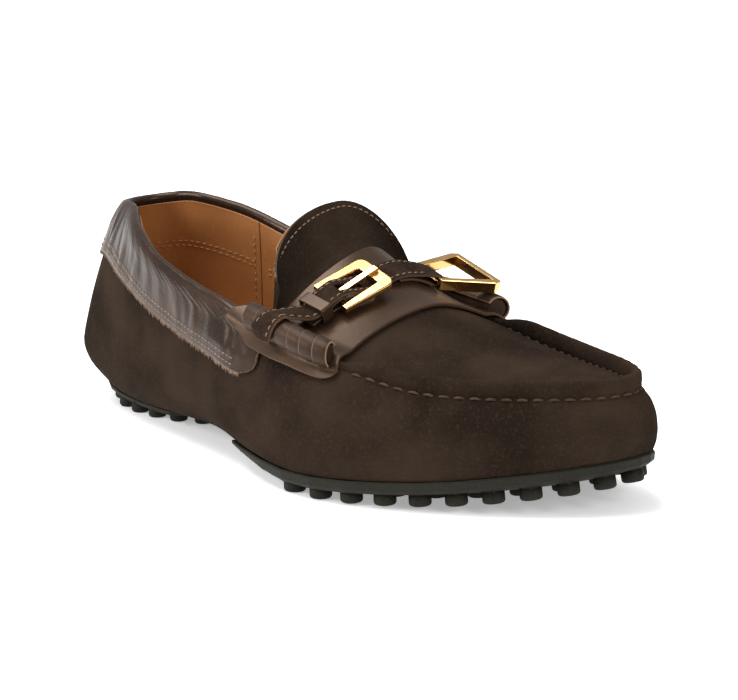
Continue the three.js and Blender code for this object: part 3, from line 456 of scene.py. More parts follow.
def roundedPiece(name, rings, firstMiddle, lastMiddle, material, subdivide=1):
    columns = len(rings[0])
    points = [p for ring in rings for p in ring] + [firstMiddle, lastMiddle]
    faces = []
    for c in range(columns):
        after = (c + 1) % columns
        for r in range(len(rings) - 1):
            here = r * columns
            upper = here + columns
            faces.append((here + c, here + after, upper + after, upper + c))
        end = (len(rings) - 1) * columns
        faces.append((len(points) - 2, after, c))
        faces.append((len(points) - 1, end + c, end + after))
    return makePiece(name, points, faces, material, "shoe", subdivide)


def surfaceOf(piece):
    bpy.context.view_layer.update()
    return BVHTree.FromObject(piece, bpy.context.evaluated_depsgraph_get())


def stitchRow(name, path, surface, thread, body="shoe"):
    # path is a list of (place, outward direction) in metres; each stitch arches over and dips in
    settled = []
    for point, outward in path:
        hit, normal, _, _ = surface.ray_cast(point + outward * 0.005, -outward, 0.012)
        if hit is None:
            continue
        settled.append((hit, normal if normal.dot(outward) > 0 else -normal))
    lengths = [0.0]
    for a, b in zip(settled, settled[1:]):
        lengths.append(lengths[-1] + (b[0] - a[0]).length)

    def along(distance):
        i = 0
        while i < len(lengths) - 2 and lengths[i + 1] < distance:
            i += 1
        t = (distance - lengths[i]) / max(lengths[i + 1] - lengths[i], 1e-9)
        return settled[i][0].lerp(settled[i + 1][0], t), settled[i][1].lerp(settled[i + 1][1], t).normalized()

    points = []
    faces = []
    steps = 7
    sides = 8
    pitch = thread["pitch"] * 0.001
    long = thread["long"] * 0.001
    thick = thread["thick"] * 0.001
    start = pitch * 0.5
    while start + long < lengths[-1]:
        first = len(points)
        for k in range(steps + 1):
            share = k / steps
            centre, normal = along(start + long * share)
            ahead, _ = along(min(start + long * share + 0.0002, lengths[-1]))
            forward = (ahead - centre).normalized() if (ahead - centre).length > 1e-9 else Vector((1, 0, 0))
            across = forward.cross(normal).normalized()
            arch = math.sin(math.pi * share)
            radius = thick * (0.35 + 0.65 * arch ** 0.5) / 2 if 0 < share < 1 else thick * 0.15
            middle = centre + normal * (thick * 0.45 * arch - thick * 0.25 * (1 - arch))
            for s in range(sides):
                a = s / sides * turn
                flat = normal * (radius * 0.85 * math.sin(a))
                points.append(middle + across * (radius * math.cos(a)) + flat)
        faces.extend(tubeFaces(first, steps + 1, sides))
        start += pitch
    if not faces:
        print("no stitches placed for", name)
        return None
    return makePiece(name, points, faces, thread["material"], body, 0, None, True)


def wallPath(fromAngle, toAngle, rowAt, outward, count=240):
    path = []
    for i in range(count + 1):
        angle = mix(fromAngle, toAngle, i / count)
        point = wallPoint(angle, rowAt(angle), outward)
        out = outAt(angle, 0.25)
        path.append((place(point), out if outward >= 0 else -Vector((out.x, out.y, 0))))
    return path


# suede wrap with the pinched ridge
wrapLook = {"stepsAround": 240, "pucker": 0.35, "puckerPitch": 5.6, "soleCorner": 3}
ridgeTravel = [0.0]
for i in range(wrapLook["stepsAround"]):
    a = wallPoint(i / wrapLook["stepsAround"] * turn, 6, 0)
    b = wallPoint((i + 1) / wrapLook["stepsAround"] * turn, 6, 0)
    ridgeTravel.append(ridgeTravel[-1] + (b - a).length)


def travelAt(angle):
    share = (angle % turn) / turn * wrapLook["stepsAround"]
    i = min(int(share), wrapLook["stepsAround"] - 1)
    return mix(ridgeTravel[i], ridgeTravel[i + 1], share - i)


def puckerAt(angle):
    x = xAt(angle)
    strength = clamp((x / halfLength - 0.3) / 0.2)
    return wrapLook["pucker"] * strength * math.cos(travelAt(angle) / wrapLook["puckerPitch"] * turn)


def underPoint(angle, share, lift, extraInset=0):
    x = xAt(angle)
    edge = onLevel(angle, featherInset(x) + wrapLook["soleCorner"] + extraInset, 0)
    y = mix(spineY(edge.x * share), edge.y, share)
    height = undersideHeight(edge.x * share) + (lift(edge.x * share) if callable(lift) else lift)
    return Vector((edge.x * share, y, height))


around = [i / wrapLook["stepsAround"] * turn for i in range(wrapLook["stepsAround"])]


def underRing(share, lift, extraInset=0):
    return [underPoint(angle, share, lift, extraInset) for angle in around]


def middleAt(lift):
    return Vector((0, spineY(0), undersideHeight(0) + lift))


def ridgePoint(angle, inward, drop):
    x = xAt(angle)
    swell = puckerAt(angle)
    inset = crestInset(x) + ridgeWide(x) * inward - swell * (0.6 - inward)
    return onLevel(angle, inset, crestHeightAt(angle) - drop + swell * 0.4)


def grooveAt(angle, row):
    # the wrap is drawn in along the hand stitches and stands out in a soft step just below them
    strength = clamp((math.cos(angle) - 0.36) / 0.1)
    drawnIn = math.exp(-((row - 5.3) / 0.22) ** 2)
    step = math.exp(-((row - 4.86) / 0.14) ** 2)
    return strength * (0.55 * step - 0.9 * drawnIn)


wrapRings = [underRing(share, 0) for share in (0.35, 0.65, 0.85, 1)]
for row in (0, 0.5, 1, 1.5, 2, 2.5, 3, 3.5, 4, 4.4, 4.65, 4.8, 4.9, 5.05, 5.2, 5.35, 5.55, 6, 6.6, 7):
    gathers = 1 if row > 5 else 0
    stands = [grooveAt(angle, row) + gathers * puckerAt(angle) for angle in around]
    wrapRings.append([wallPoint(angle, row, stand) for angle, stand in zip(around, stands)])
wrapRings.append([ridgePoint(angle, 0.4, 0) for angle in around])
wrapRings.append([ridgePoint(angle, 0.85, 0.9) for angle in around])
innerRidge = []
ridgeFoot = []
belowRidge = []
for angle in around:
    x = xAt(angle)
    wide = ridgeWide(x)
    seam = seamHeightAt(angle)
    halfway = mix(seamInset(x), crestInset(x), 0.5)
    innerRidge.append(onLevel(angle, halfway + wide, seam + ridgeRise(x) * 0.45))
    ridgeFoot.append(onLevel(angle, seamInset(x) + wide, seam - 0.15 * (wide - suedeThick)))
    belowRidge.append(wallPoint(angle, 5 - max(0.1, wide - suedeThick) * 0.22, -suedeThick))
wrapRings.extend([innerRidge, ridgeFoot, belowRidge])
for row in (4, 3, 2, 1, 0.35):
    wrapRings.append([wallPoint(angle, row, -suedeThick) for angle in around])
for share in (0.97, 0.85, 0.65, 0.35):
    wrapRings.append(underRing(share, suedeThick))
wrap = roundedPiece("suedeWrap", wrapRings, middleAt(0), middleAt(suedeThick), "suede")
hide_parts("upper_wrap")
wrapSurface = surfaceOf(wrap)
print("wrap made")

# apron and tongue
tongue = {"x": -1, "top": 95.3, "drop": 26, "sweep": 13.5, "outerHalf": 42, "innerHalf": 25}
rearAngle = angleAtX(0.092 * halfLength)


def apronPoint(angle, swing):
    x = xAt(angle)
    inset = seamInset(x) + ridgeWide(x) + gap + 0.4
    outerEdge = onLevel(angle, inset, outerSeamHeight(x) + 1.6)
    innerEdge = onLevel(-angle, inset, innerSeamHeight(x) + 1.6)
    crownY = mix(outerEdge.y, innerEdge.y, crownShare(outerEdge.x))
    edge = outerEdge if swing < 0 else innerEdge
    s = abs(math.sin(swing))
    top = max(crownHeight(outerEdge.x), edge.z + 0.6)
    return Vector((edge.x, mix(crownY, edge.y, s), top - (top - edge.z) * s ** archPower(edge.x)))


def tonguePoint(climb, swing):
    base = apronPoint(rearAngle, swing)
    crown = apronPoint(rearAngle, 0)
    half = tongue["outerHalf"] if swing < 0 else tongue["innerHalf"]
    fall = 1 - math.cos(swing)
    edge = Vector((tongue["x"] + tongue["sweep"] * fall, crown.y + half * math.sin(swing),
                   tongue["top"] - tongue["drop"] * fall))
    return base.lerp(edge, climb)


def lifted(surface, u, v, height):
    step = 0.01
    alongU = surface(u + step, v) - surface(u - step, v)
    alongV = surface(u, v + step) - surface(u, v - step)
    normal = alongU.cross(alongV).normalized()
    if normal.y * math.sin(v) + normal.z * 0.6 < 0:
        normal.negate()
    return surface(u, v) + normal * height


def setBack(depth, climb, swing):
    # down under the apron, and turning towards the heel up the tongue
    t = min(climb / 0.4, 1)
    return Vector((-0.95 * t, -0.25 * math.sin(swing) * t, -mix(1, 0.3, t))).normalized() * depth


def apronGrid(height, trim=1.0):
    swings = spread(-rightAngle, rightAngle, 40, 0.006)
    rows = []
    for angle in spread(0.09, rearAngle, 44, 0.004)[:-2]:
        rows.append([apronPoint(angle, s * trim) + setBack(-height, 0, s * trim) for s in swings])
    for climb in (0.06, 0.15, 0.3, 0.45, 0.6, 0.75, 0.88, 0.96, 0.99, 1):
        reach = climb * (0.97 if trim < 1 else 1)
        rows.append([tonguePoint(reach, s * trim) + setBack(-height, climb, s * trim) for s in swings])
    return rows


apron = sheetPiece("apronAndTongue", apronGrid(0), apronGrid(-suedeThick), "suede")
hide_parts("apron")
underApron = -suedeThick - 5 * gap
liningTrim = 0.62
tongueLining = sheetPiece("tongueLining", apronGrid(underApron, liningTrim),
                          apronGrid(underApron - shoe["lining"], liningTrim), "tanLining")
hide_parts("tongue_lining")
apronSurface = surfaceOf(apron)
print("apron made")

# linings
liningOut = -suedeThick - gap - shoe["counter"] - gap
liningIn = liningOut - shoe["lining"]
liningLow = 0.8
liningTopDepth = shoe["cuffTurnIn"] - 0.6
frontOuter = angleAtX(4)
heelOuter = angleAtX(-78)
seamGap = 0.0006


def wallPatch(name, fromAngle, toAngle, count):
    def grid(out):
        rows = []
        for angle in spread(fromAngle, toAngle, count):
            steps = spread(liningLow, rowAtDepth(angle, liningTopDepth), 16, 0.01)
            rows.append([wallPoint(angle, row, out) for row in steps])
        return rows

    return sheetPiece(name, grid(liningOut), grid(liningIn), "tanLining")


linings = [
    ("outerLining", "lining_lateral", frontOuter + seamGap, heelOuter - seamGap, 30),
    ("innerLining", "lining_medial", turn - heelOuter + seamGap, turn - frontOuter - seamGap, 30),
    ("heelLining", "heel_lining", heelOuter, turn - heelOuter, 50),
]
liningSurfaces = {}
for name, node, fromAngle, toAngle, count in linings:
    piece = wallPatch(name, fromAngle, toAngle, count)
    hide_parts(node)
    liningSurfaces[name] = (surfaceOf(piece), fromAngle, toAngle)


def vampGrid(out):
    return [[wallPoint(angle, row, out) for row in spread(liningLow, 4.5, 10, 0.01)]
            for angle in spread(-frontOuter + seamGap, frontOuter - seamGap, 60)]


vampLining = sheetPiece("vampLining", vampGrid(liningOut), vampGrid(liningIn), "tanLining")
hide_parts("vamp_lining")
liningThread = {"pitch": 3.0, "long": 2.2, "thick": 0.55, "material": "tanThread"}
for name, (surface, fromAngle, toAngle) in liningSurfaces.items():
    for number, depth in enumerate((20.5, 22.5)):
        path = wallPath(fromAngle + 0.02, toAngle - 0.02, lambda angle: rowAtDepth(angle, depth), liningIn)
        stitchRow(f"{name}Stitch{number + 1}", path, surface, liningThread)


for name, angle in (("innerHeelSeam", turn - heelOuter - 0.03), ("outerHeelSeam", heelOuter + 0.03)):
    rows = [mix(1.6, rowAtDepth(angle, 7), i / 60) for i in range(61)]
    path = [(place(wallPoint(angle, row, liningIn)), -outAt(angle)) for row in rows]
    stitchRow(name, path, liningSurfaces["heelLining"][0], liningThread)


def sockGrid(lift):
    rows = []
    for angle in spread(0.3, math.pi - 0.07, 60):
        x = xAt(angle)
        # at the heel it reaches further out, to meet the lining
        heelward = clamp((-x - 60) / 50)
        inset = featherInset(x) + wrapLook["soleCorner"] + 2.4 - 2.6 * heelward
        outer = onLevel(angle, inset, 0)
        inner = onLevel(-angle, inset, 0)
        height = undersideHeight(outer.x) + lift
        across = [outer.lerp(inner, t) for t in spread(0, 1, 12, 0.01)]
        rows.append([Vector((p.x, p.y, height)) for p in across])
    return rows


sockBottom = suedeThick + 2 * gap + shoe["board"] + gap + shoe["foam"] + gap
sock = sheetPiece("sockLiner", sockGrid(sockBottom + shoe["sock"]), sockGrid(sockBottom), "tanLining")
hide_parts("sock_liner")
print("linings made")

# glossy cuff folded over the topline, wrinkled, with a raw lower edge
cuffLook = {
    "steps": 260, "wrinkle": 0.6, "wrinklePitch": 5.5, "fray": 0.6,
    "topX": -7, "frontX": 15, "corner": 8, "stand": 0.35, "over": 0.15,
}


def wrinkleAt(angle, part):
    s = travelAt(angle)
    wave = noise.noise(Vector((s / cuffLook["wrinklePitch"], part * 0.9, 3.1)))
    fine = noise.noise(Vector((s / 2.1, part * 2.5, 8.4)))
    fade = math.sin(math.pi * min(max(part, 0.05), 0.95))
    return cuffLook["wrinkle"] * (abs(wave) * 1.5 - 0.25 + fine * 0.35) * fade


def cuffAngle(low, share):
    # the front edge runs forward under the saddle and its lower corner is round
    forward = mix(cuffLook["topX"], cuffLook["frontX"], min(low / 0.3, 1))
    start = angleAtX(forward - cuffLook["corner"] * max(0, (low - 0.62) / 0.38) ** 2)
    return mix(start, turn - start, share)


def cornerRise(share):
    near = max(0, 1 - min(share, 1 - share) / 0.05)
    return 1 - 0.1 * near * near


def cuffGrid(out):
    rows = []
    for share in spread(0, 1, cuffLook["steps"], 0.0008):
        column = []
        for part in (1, 0.985, 0.9, 0.8, 0.7, 0.6, 0.5, 0.4, 0.3, 0.22):
            angle = cuffAngle(part, share)
            fray = cuffLook["fray"] * noise.noise(Vector((travelAt(angle) / 1.3, 0, 0))) if part > 0.97 else 0
            bulge = max(wrinkleAt(angle, part), -0.2)
            depth = shoe["cuffDepth"] * part * cornerRise(share) + fray
            column.append(wallPoint(angle, rowAtDepth(angle, depth), gap + cuffLook["stand"] + out + bulge))
        angle = cuffAngle(0, share)
        x = xAt(angle)
        top = crestHeightAt(angle)
        wide = ridgeWide(x)
        swell = 0.25 * noise.noise(Vector((travelAt(angle) / 6, 4, 1)))
        column.append(onLevel(angle, crestInset(x) - gap - 0.2 - out, top - 0.4))
        over = cuffLook["over"]
        column.append(onLevel(angle, crestInset(x) + wide * 0.45, top + gap + over + out + swell))
        column.append(onLevel(angle, crestInset(x) + wide + gap + over + out, top - 0.6))
        for depth in (shoe["cuffTurnIn"] - 0.3, shoe["cuffTurnIn"]):
            column.append(wallPoint(angle, rowAtDepth(angle, depth), -wide - gap - over - out))
        rows.append(column)
    return rows


cuff = sheetPiece("collarCuff", cuffGrid(shoe["cuff"]), cuffGrid(0), "cuffLeather")
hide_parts("collar_band")
cuffSurface = surfaceOf(cuff)
cuffThread = {"pitch": 2.6, "long": 1.9, "thick": 0.5, "material": "thread"}
for number, back in enumerate((2.2, 4.4)):
    path = []
    for i in range(401):
        share = mix(0.012, 0.988, i / 400)
        angle = cuffAngle(1, share)
        row = rowAtDepth(angle, shoe["cuffDepth"] * cornerRise(share) - back)
        path.append((place(wallPoint(angle, row, gap + 2.0)), outAt(angle)))
    stitchRow(f"cuffStitch{number + 1}", path, cuffSurface, cuffThread)

# fibres that stand out of the cuff's raw lower edge
fibres = {"count": 2600, "short": 0.8, "long": 2.4, "thick": 0.15}
fibrePoints = []
fibreFaces = []
for i in range(fibres["count"]):
    share = mix(0.004, 0.996, i / fibres["count"])
    angle = cuffAngle(1, share)
    seed = Vector((i * 0.731, i * 0.137, 5.5))
    long = mix(fibres["short"], fibres["long"], abs(noise.noise(seed)) * 1.6)
    lean = noise.noise(seed + Vector((9, 2, 4))) * 1.1
    root = wallPoint(angle, rowAtDepth(angle, shoe["cuffDepth"] * cornerRise(share) - 0.4), gap + 1.2)
    out = outAt(angle)
    side = Vector((-out.y, out.x, 0))
    end = root + Vector((0, 0, -long)) + side * lean + out * (0.15 + 0.5 * abs(noise.noise(seed * 1.7)))
    first = len(fibrePoints)
    bend = root.lerp(end, 0.6) + out * 0.1
    for centre, thick in ((root, fibres["thick"]), (bend, fibres["thick"] * 0.8), (end, 0.03)):
        for k in range(3):
            a = k / 3 * turn
            fibrePoints.append(centre + side * (thick * math.cos(a)) + out * (thick * math.sin(a)))
    fibreFaces.extend(tubeFaces(first, 3, 3))
makePiece("cuffFibres", fibrePoints, fibreFaces, "thread")


def stripGrid(out):
    grid = []
    for angle in spread(math.pi - 0.12, math.pi + 0.12, 10, 0.02):
        top = rowAtDepth(angle, shoe["cuffDepth"] + 1)
        grid.append([wallPoint(angle, row, out) for row in spread(0.6, top, 12, 0.01)])
    return grid


strip = sheetPiece("backStrip", stripGrid(gap + 0.9), stripGrid(gap), "suede")
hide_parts("back_strip")
print("cuff made")

# seam stitches on the wrap and the apron
handThread = {"pitch": 5.6, "long": 4.3, "thick": 1.15, "material": "handThread"}
seamFront = angleAtX(56)
handRow = 5.3
seamPath = wallPath(-seamFront, seamFront, lambda angle: handRow, 1.0, 400)
stitchRow("handStitches", seamPath, wrapSurface, handThread)
fineThread = {"pitch": 4.0, "long": 2.4, "thick": 0.5, "material": "handThread"}
for name, sign in (("outerApronStitches", -1), ("innerApronStitches", 1)):
    path = []
    for i in range(161):
        angle = mix(0.2, angleAtX(60), i / 160)
        path.append((place(apronPoint(angle, sign * 1.28)), Vector((0, 0, 1))))
    stitchRow(name, path, apronSurface, fineThread)
tongueThread = {"pitch": 2.8, "long": 2.0, "thick": 0.5, "material": "thread"}
path = []
for i in range(201):
    swing = mix(-1.35, 1.35, i / 200)
    outward = lifted(tonguePoint, 0.86, swing, 1) - tonguePoint(0.86, swing)
    path.append((place(tonguePoint(0.86, swing)), outward.normalized()))
stitchRow("tongueStitches", path, apronSurface, tongueThread)
print("stitches made")


# saddle
def saddleColumn(share, height):
    points = []
    # the flap's lower corners are round, and its heel end stands off the cuff that it laps over
    near = max(0, 1 - min(share, 1 - share) / 0.16)
    corner = 1 - math.sqrt(max(0, 1 - near * near))
    t = clamp((share - 0.4) / 0.25)
    ease = 1.5 * easeInOut(t)

    def side(sign, rows):
        for row in rows:
            rear = mix(3, -8, clamp(row - 4.4))
            angle = mix(angleAtX(56), angleAtX(rear), share)
            points.append(wallPoint(sign * angle, mix(row, max(row, 5.1), corner), gap + 0.6 + ease + height))

    def crest(sign):
        angle = mix(angleAtX(55), angleAtX(-5), share)
        x = xAt(angle)
        top = crestHeightAt(sign * angle) + gap + 0.5 + ease + height
        points.append(onLevel(sign * angle, crestInset(x) + ridgeWide(x) * 0.5, top))

    side(1, [4.4, 4.43, 4.65, 5, 6, 6.9])
    crest(1)
    for i in range(25):
        swing = math.radians(-64 + i * 128 / 24)
        bow = 1 - math.cos(swing)
        angle = mix(angleAtX(52 + 5 * bow), min(angleAtX(16.5 - 5 * bow), rearAngle), share)
        points.append(lifted(apronPoint, angle, swing, gap + 0.25 + height))
    crest(-1)
    side(-1, [6.9, 6, 5, 4.65, 4.43, 4.4])
    return points


saddleSteps = spread(0, 1, 22, 0.008)
saddle = sheetPiece("saddleBand", [saddleColumn(s, shoe["saddle"]) for s in saddleSteps],
                    [saddleColumn(s, 0) for s in saddleSteps], "saddleLeather")
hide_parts("saddle")
print("saddle made")

# rolls of wound lace, each turn lapped over the next
rollLook = {"lift": 5.2, "out": 1.2, "lap": 0.4, "wall": 0.9}


def rollCentre(angle):
    x = xAt(angle)
    return onLevel(angle, seamInset(x) - rollLook["out"], seamHeightAt(angle) + rollLook["lift"])


def arc(angle, radius, turns):
    # points round the roll's middle, from level and outwards
    centre = rollCentre(angle)
    out = outAt(angle)
    return [centre + out * (radius * math.cos(a)) + Vector((0, 0, radius * math.sin(a))) for a in turns]


def turnsAt(sign, radius, raised):
    grid = []
    opening = [math.radians(mix(-66, 148, i / 24)) for i in range(25)]
    for coil in range(shoe["rollCoils"]):
        for along in (0.03, 0.08, 0.5, 0.9, 0.985):
            angle = mix(angleAtX(6), angleAtX(53), (coil + along) / shoe["rollCoils"])
            lap = (rollLook["lap"] * (1 - along) if along < 0.95 else -0.35) if raised else 0
            grid.append(arc(sign * angle, radius + lap, opening))
    return grid


coreFrom = angleAtX(7)
coreTo = angleAtX(52.5)
coreRadii = ((2.6, 0.0), (3.6, 0.004), (3.9, 0.02), (3.9, 0.25), (3.9, 0.5), (3.9, 0.75), (3.9, 0.98),
             (3.6, 0.996), (2.6, 1.0))
circle = [i / 24 * turn for i in range(24)]
for name, node, sign in (("outerRoll", "lateral_roll", 1), ("innerRoll", "medial_roll", -1)):
    roll = sheetPiece(name, turnsAt(sign, shoe["rollOuter"], True),
                      turnsAt(sign, shoe["rollOuter"] - rollLook["wall"], False), "laceLeather")
    # the start of each turn is a cut edge
    rows = shoe["rollCoils"] * 5
    raw = roll.data.attributes["rawEdge"]
    for r in range(0, rows, 5):
        for c in range(25):
            raw.data[r * 25 + c].value = 0.9
    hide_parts(node)
    coreRings = []
    for radius, share in coreRadii:
        coreRings.append(arc(sign * mix(coreFrom, coreTo, share), radius, circle))
    ends = [rollCentre(sign * angle) for angle in (coreFrom, coreTo)]
    roundedPiece(name + "Core", coreRings, ends[0], ends[1], "laceLeather")
print("rolls made")


# straps
def bed(x, y):
    angle = angleAtX(x)
    swing = 0.0
    for _ in range(6):
        at = apronPoint(angle, swing)
        angle += (at.x - x) / (halfLength * math.sin(angle))
        crown = apronPoint(angle, 0)
        edge = apronPoint(angle, -rightAngle if y < crown.y else rightAngle)
        s = min(abs((y - crown.y) / (edge.y - crown.y)), 0.999)
        swing = math.asin(s) * (-1 if y < crown.y else 1)
    base = gap + 0.25 + shoe["saddle"]
    point = lifted(apronPoint, angle, swing, base)
    return point, lifted(apronPoint, angle, swing, base + 1) - point


def bedAt(y, height, flip=False):
    point, normal = bed(27.5 + 0.055 * (y + 30), y)
    return [point + normal * height, -normal if flip else normal, 1.0]


def frameAt(y, height, nextY, nextHeight):
    here = bedAt(y, height)
    along = (bedAt(nextY, nextHeight)[0] - here[0]).normalized()
    across = along.cross(here[1]).normalized()
    return here[0], along, across, across.cross(along).normalized()


def roundBar(centre, along, up, radius, fromDegrees, toDegrees, count):
    stations = []
    for i in range(count + 1):
        a = math.radians(mix(fromDegrees, toDegrees, i / count))
        normal = along * math.cos(a) + up * math.sin(a)
        stations.append([centre + normal * radius, normal, 1.0])
    return stations


def smoothed(stations, between):
    # more stations on a curve that passes through the given ones
    out = []
    for i in range(len(stations) - 1):
        a = stations[max(i - 1, 0)]
        b = stations[i]
        c = stations[i + 1]
        d = stations[min(i + 2, len(stations) - 1)]
        for k in range(between):
            t = k / between
            point = 0.5 * (2 * b[0] + (c[0] - a[0]) * t + (2 * a[0] - 5 * b[0] + 4 * c[0] - d[0]) * t * t
                           + (3 * b[0] - a[0] - 3 * c[0] + d[0]) * t ** 3)
            out.append([point, b[1].lerp(c[1], t).normalized(), mix(b[2], c[2], t)])
    out.append(stations[-1])
    return out


shares = (-1, -0.94, -0.7, -0.36, 0, 0.36, 0.7, 0.94, 1)


def ribbonGrids(stations, width, thickness):
    grids = []
    for height in (thickness / 2, -thickness / 2):
        grid = []
        for i, (point, normal, scale) in enumerate(stations):
            along = (stations[min(i + 1, len(stations) - 1)][0] - stations[max(i - 1, 0)][0]).normalized()
            side = along.cross(normal).normalized()
            up = side.cross(along).normalized()
            heights = [height * (0.8 if abs(k) == 1 else 1) for k in shares]
            grid.append([point + side * (k * width * scale / 2) + up * h for k, h in zip(shares, heights)])
        grids.append(grid)
    return grids


buckleOrigin, buckleAlong, _, buckleUp = frameAt(-30, 2.9, -10.6, 4.05)


def slotSkip(stations, low, high, lowUp, highUp):
    # cells of the strap that the prong passes through
    def skip(r, c):
        centre = (stations[r][0] + stations[min(r + 1, len(stations) - 1)][0]) / 2 - buckleOrigin
        y = centre.dot(buckleAlong)
        z = centre.dot(buckleUp)
        return c in (3, 4) and low < y < high and lowUp < z < highUp

    return skip


strapThick = shoe["strapThick"]
lowLayer = strapThick / 2 + 0.35
foldRadius = 1.1 + gap + strapThick / 2
ringBarHeight = foldRadius + strapThick / 2 + 0.35
ringOrigin, ringAlong, _, ringUp = frameAt(13.5, ringBarHeight, 16.5, ringBarHeight)
heelFold = 0.95 + gap + shoe["thinStrap"] / 2
overHeel = 2.9 + heelFold + shoe["thinStrap"] / 2 + gap + strapThick / 2 + 0.1
under = [bedAt(y, lowLayer, True) for y in (-3, 1, 5, 9)]
fold = roundBar(ringOrigin, ringAlong, ringUp, foldRadius, -70, 100, 8)
top = [bedAt(y, h) for y, h in (
    (8, lowLayer + 2.6), (4, lowLayer + 1.8), (0, lowLayer + 1.55), (-5, lowLayer + 1.3),
    (-8.5, lowLayer + 0.1), (-12.5, lowLayer), (-16.5, lowLayer + 0.1), (-20, lowLayer + 1.3),
    (-24, lowLayer + 2.9), (-27.5, overHeel - 0.25), (-30, overHeel), (-34, overHeel - 0.3),
    (-38, overHeel - 1.2), (-41, overHeel - 1.6))]
rollReach = shoe["rollOuter"] + 0.25 + gap + 0.15 + strapThick / 2


def onRoll(degrees, x, scale=1.0):
    centre = rollCentre(angleAtX(x))
    a = math.radians(degrees)
    normal = Vector((0, -math.cos(a), math.sin(a)))
    return [centre + normal * rollReach, normal, scale]


tip = [onRoll(a, x) for a, x in ((88, 24.5), (70, 24), (50, 23.2), (30, 22.4), (10, 21.4), (-8, 20.2))]
tip += [onRoll(-24, 19.2, 0.62), onRoll(-34, 18.6, 0.16)]
strapStations = smoothed(under + fold + top + tip, 4)
strapGrids = ribbonGrids(strapStations, shoe["strapWide"], strapThick)
overstrap = sheetPiece("overstrapSuede", strapGrids[0], strapGrids[1], "strapSuede",
                       skip=slotSkip(strapStations, 1.3, 12.8, -4.5, 7.5))
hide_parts("overstrap")
strapSurface = surfaceOf(overstrap)
strapThread = {"pitch": 3.0, "long": 2.0, "thick": 0.5, "material": "thread"}
firstTop = (len(under) + len(fold)) * 4
for name, sign in (("overstrapStitchFront", 1), ("overstrapStitchBack", -1)):
    path = []
    for i in range(firstTop, len(strapStations) - 8):
        point, normal, scale = strapStations[i]
        along = (strapStations[i + 1][0] - strapStations[i - 1][0]).normalized()
        side = along.cross(normal).normalized()
        path.append((place(point + side * (sign * 0.72 * shoe["strapWide"] / 2)), normal))
    stitchRow(name, path, strapSurface, strapThread)

below = [bedAt(y, h, True) for y, h in ((-43, 1.9), (-40, 1.9), (-36, 1.8), (-33, 1.4))]
barFold = roundBar(buckleOrigin, buckleAlong, buckleUp, heelFold, -80, 95, 8)
above = [bedAt(y, h) for y, h in ((-33, 4.2), (-36, 3.35), (-40, 3.15))]
shortStations = smoothed(below + barFold + above, 3)
shortGrids = ribbonGrids(shortStations, shoe["strapWide"] - 0.6, shoe["thinStrap"])
shortStrap = sheetPiece("buckleStrapSuede", shortGrids[0], shortGrids[1], "strapSuede",
                        skip=slotSkip(shortStations, -2.9, 4.1, -3.3, 5.7))
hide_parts("buckle_strap")

# keeper loop
keeperOrigin, keeperAlong, keeperAcross, keeperUp = frameAt(-37.5, 0.3, -35.5, 0.3)
keeperLook = {"half": shoe["strapWide"] / 2 + gap + 1.0, "high": 6.7, "wall": 0.8, "wide": 5, "corner": 1.2}
keeperSide = keeperLook["wide"] / 2


def loopOutline(inset):
    half = keeperLook["half"] - inset
    low = inset
    high = keeperLook["high"] - inset
    corner = max(keeperLook["corner"] - inset * 0.8, 0.35)
    outline = []
    for cx, cz, start in ((half - corner, high - corner, 0), (-half + corner, high - corner, 90),
                          (-half + corner, low + corner, 180), (half - corner, low + corner, 270)):
        for k in range(6):
            a = math.radians(start + k * 18)
            outline.append((cx + corner * math.cos(a), cz + corner * math.sin(a)))
    return outline


def loopGrid(inset):
    grid = []
    for x, z in loopOutline(inset):
        grid.append([keeperOrigin + keeperAcross * x + keeperUp * z + keeperAlong * w
                     for w in spread(-keeperSide, keeperSide, 5, 0.04)])
    return grid


keeper = sheetPiece("keeperLoop", loopGrid(0), loopGrid(keeperLook["wall"]), "saddleLeather", "keeper",
                    closed=True)
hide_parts("strap_keeper")
print("straps made")

# sole: the CAD plates stay, and round nubs with a soft rim cover the plain ones
soleLook = {"rim": 4.8, "thin": 0.9, "rear": -0.12, "full": 0.2, "frontRadius": 4.1, "heelRadius": 3.5}


def plateDepth(x):
    t = clamp((x / halfLength - soleLook["rear"]) / (soleLook["full"] - soleLook["rear"]))
    return mix(soleLook["thin"], soleLook["rim"] - 1.5, easeInOut(t))


def spaced(makePoint, fromAngle, toAngle, pitch):
    places = []
    for i in range(901):
        point = makePoint(mix(fromAngle, toAngle, i / 900))
        if not places or (point - places[-1]).length >= pitch:
            places.append(point)
    if len(places) > 1 and (places[0] - places[-1]).length < pitch * 0.8:
        places.pop()
    return places


def nubs(name, places, baseAt, radius, heightAt):
    points = []
    faces = []
    sides = 28
    for spot in places:
        x = spot.x
        y = spot.y
        base = baseAt(x)
        height = heightAt(base)
        slope = math.atan((undersideHeight(x + 2) - undersideHeight(x - 2)) / 4)
        first = len(points)
        profile = ((radius + 0.05, 0.2), (radius + 0.05, -height + 1.1), (radius - 0.1, -height + 0.6),
                   (radius - 0.45, -height + 0.2), (radius - 0.95, -height), (radius * 0.4, -height))
        for r, z in profile:
            for s in range(sides):
                a = s / sides * turn
                px = r * math.cos(a)
                tiltedX = px * math.cos(slope) - z * math.sin(slope)
                tiltedZ = px * math.sin(slope) + z * math.cos(slope)
                points.append(Vector((x + tiltedX, y + r * math.sin(a), max(base + tiltedZ, 0.0))))
        faces.extend(tubeFaces(first, len(profile), sides))
    return makePiece(name, points, faces, "rubber")


def insetRing(inset):
    def point(angle):
        x = xAt(angle)
        return onLevel(angle, featherInset(x) + inset, 0)

    return point


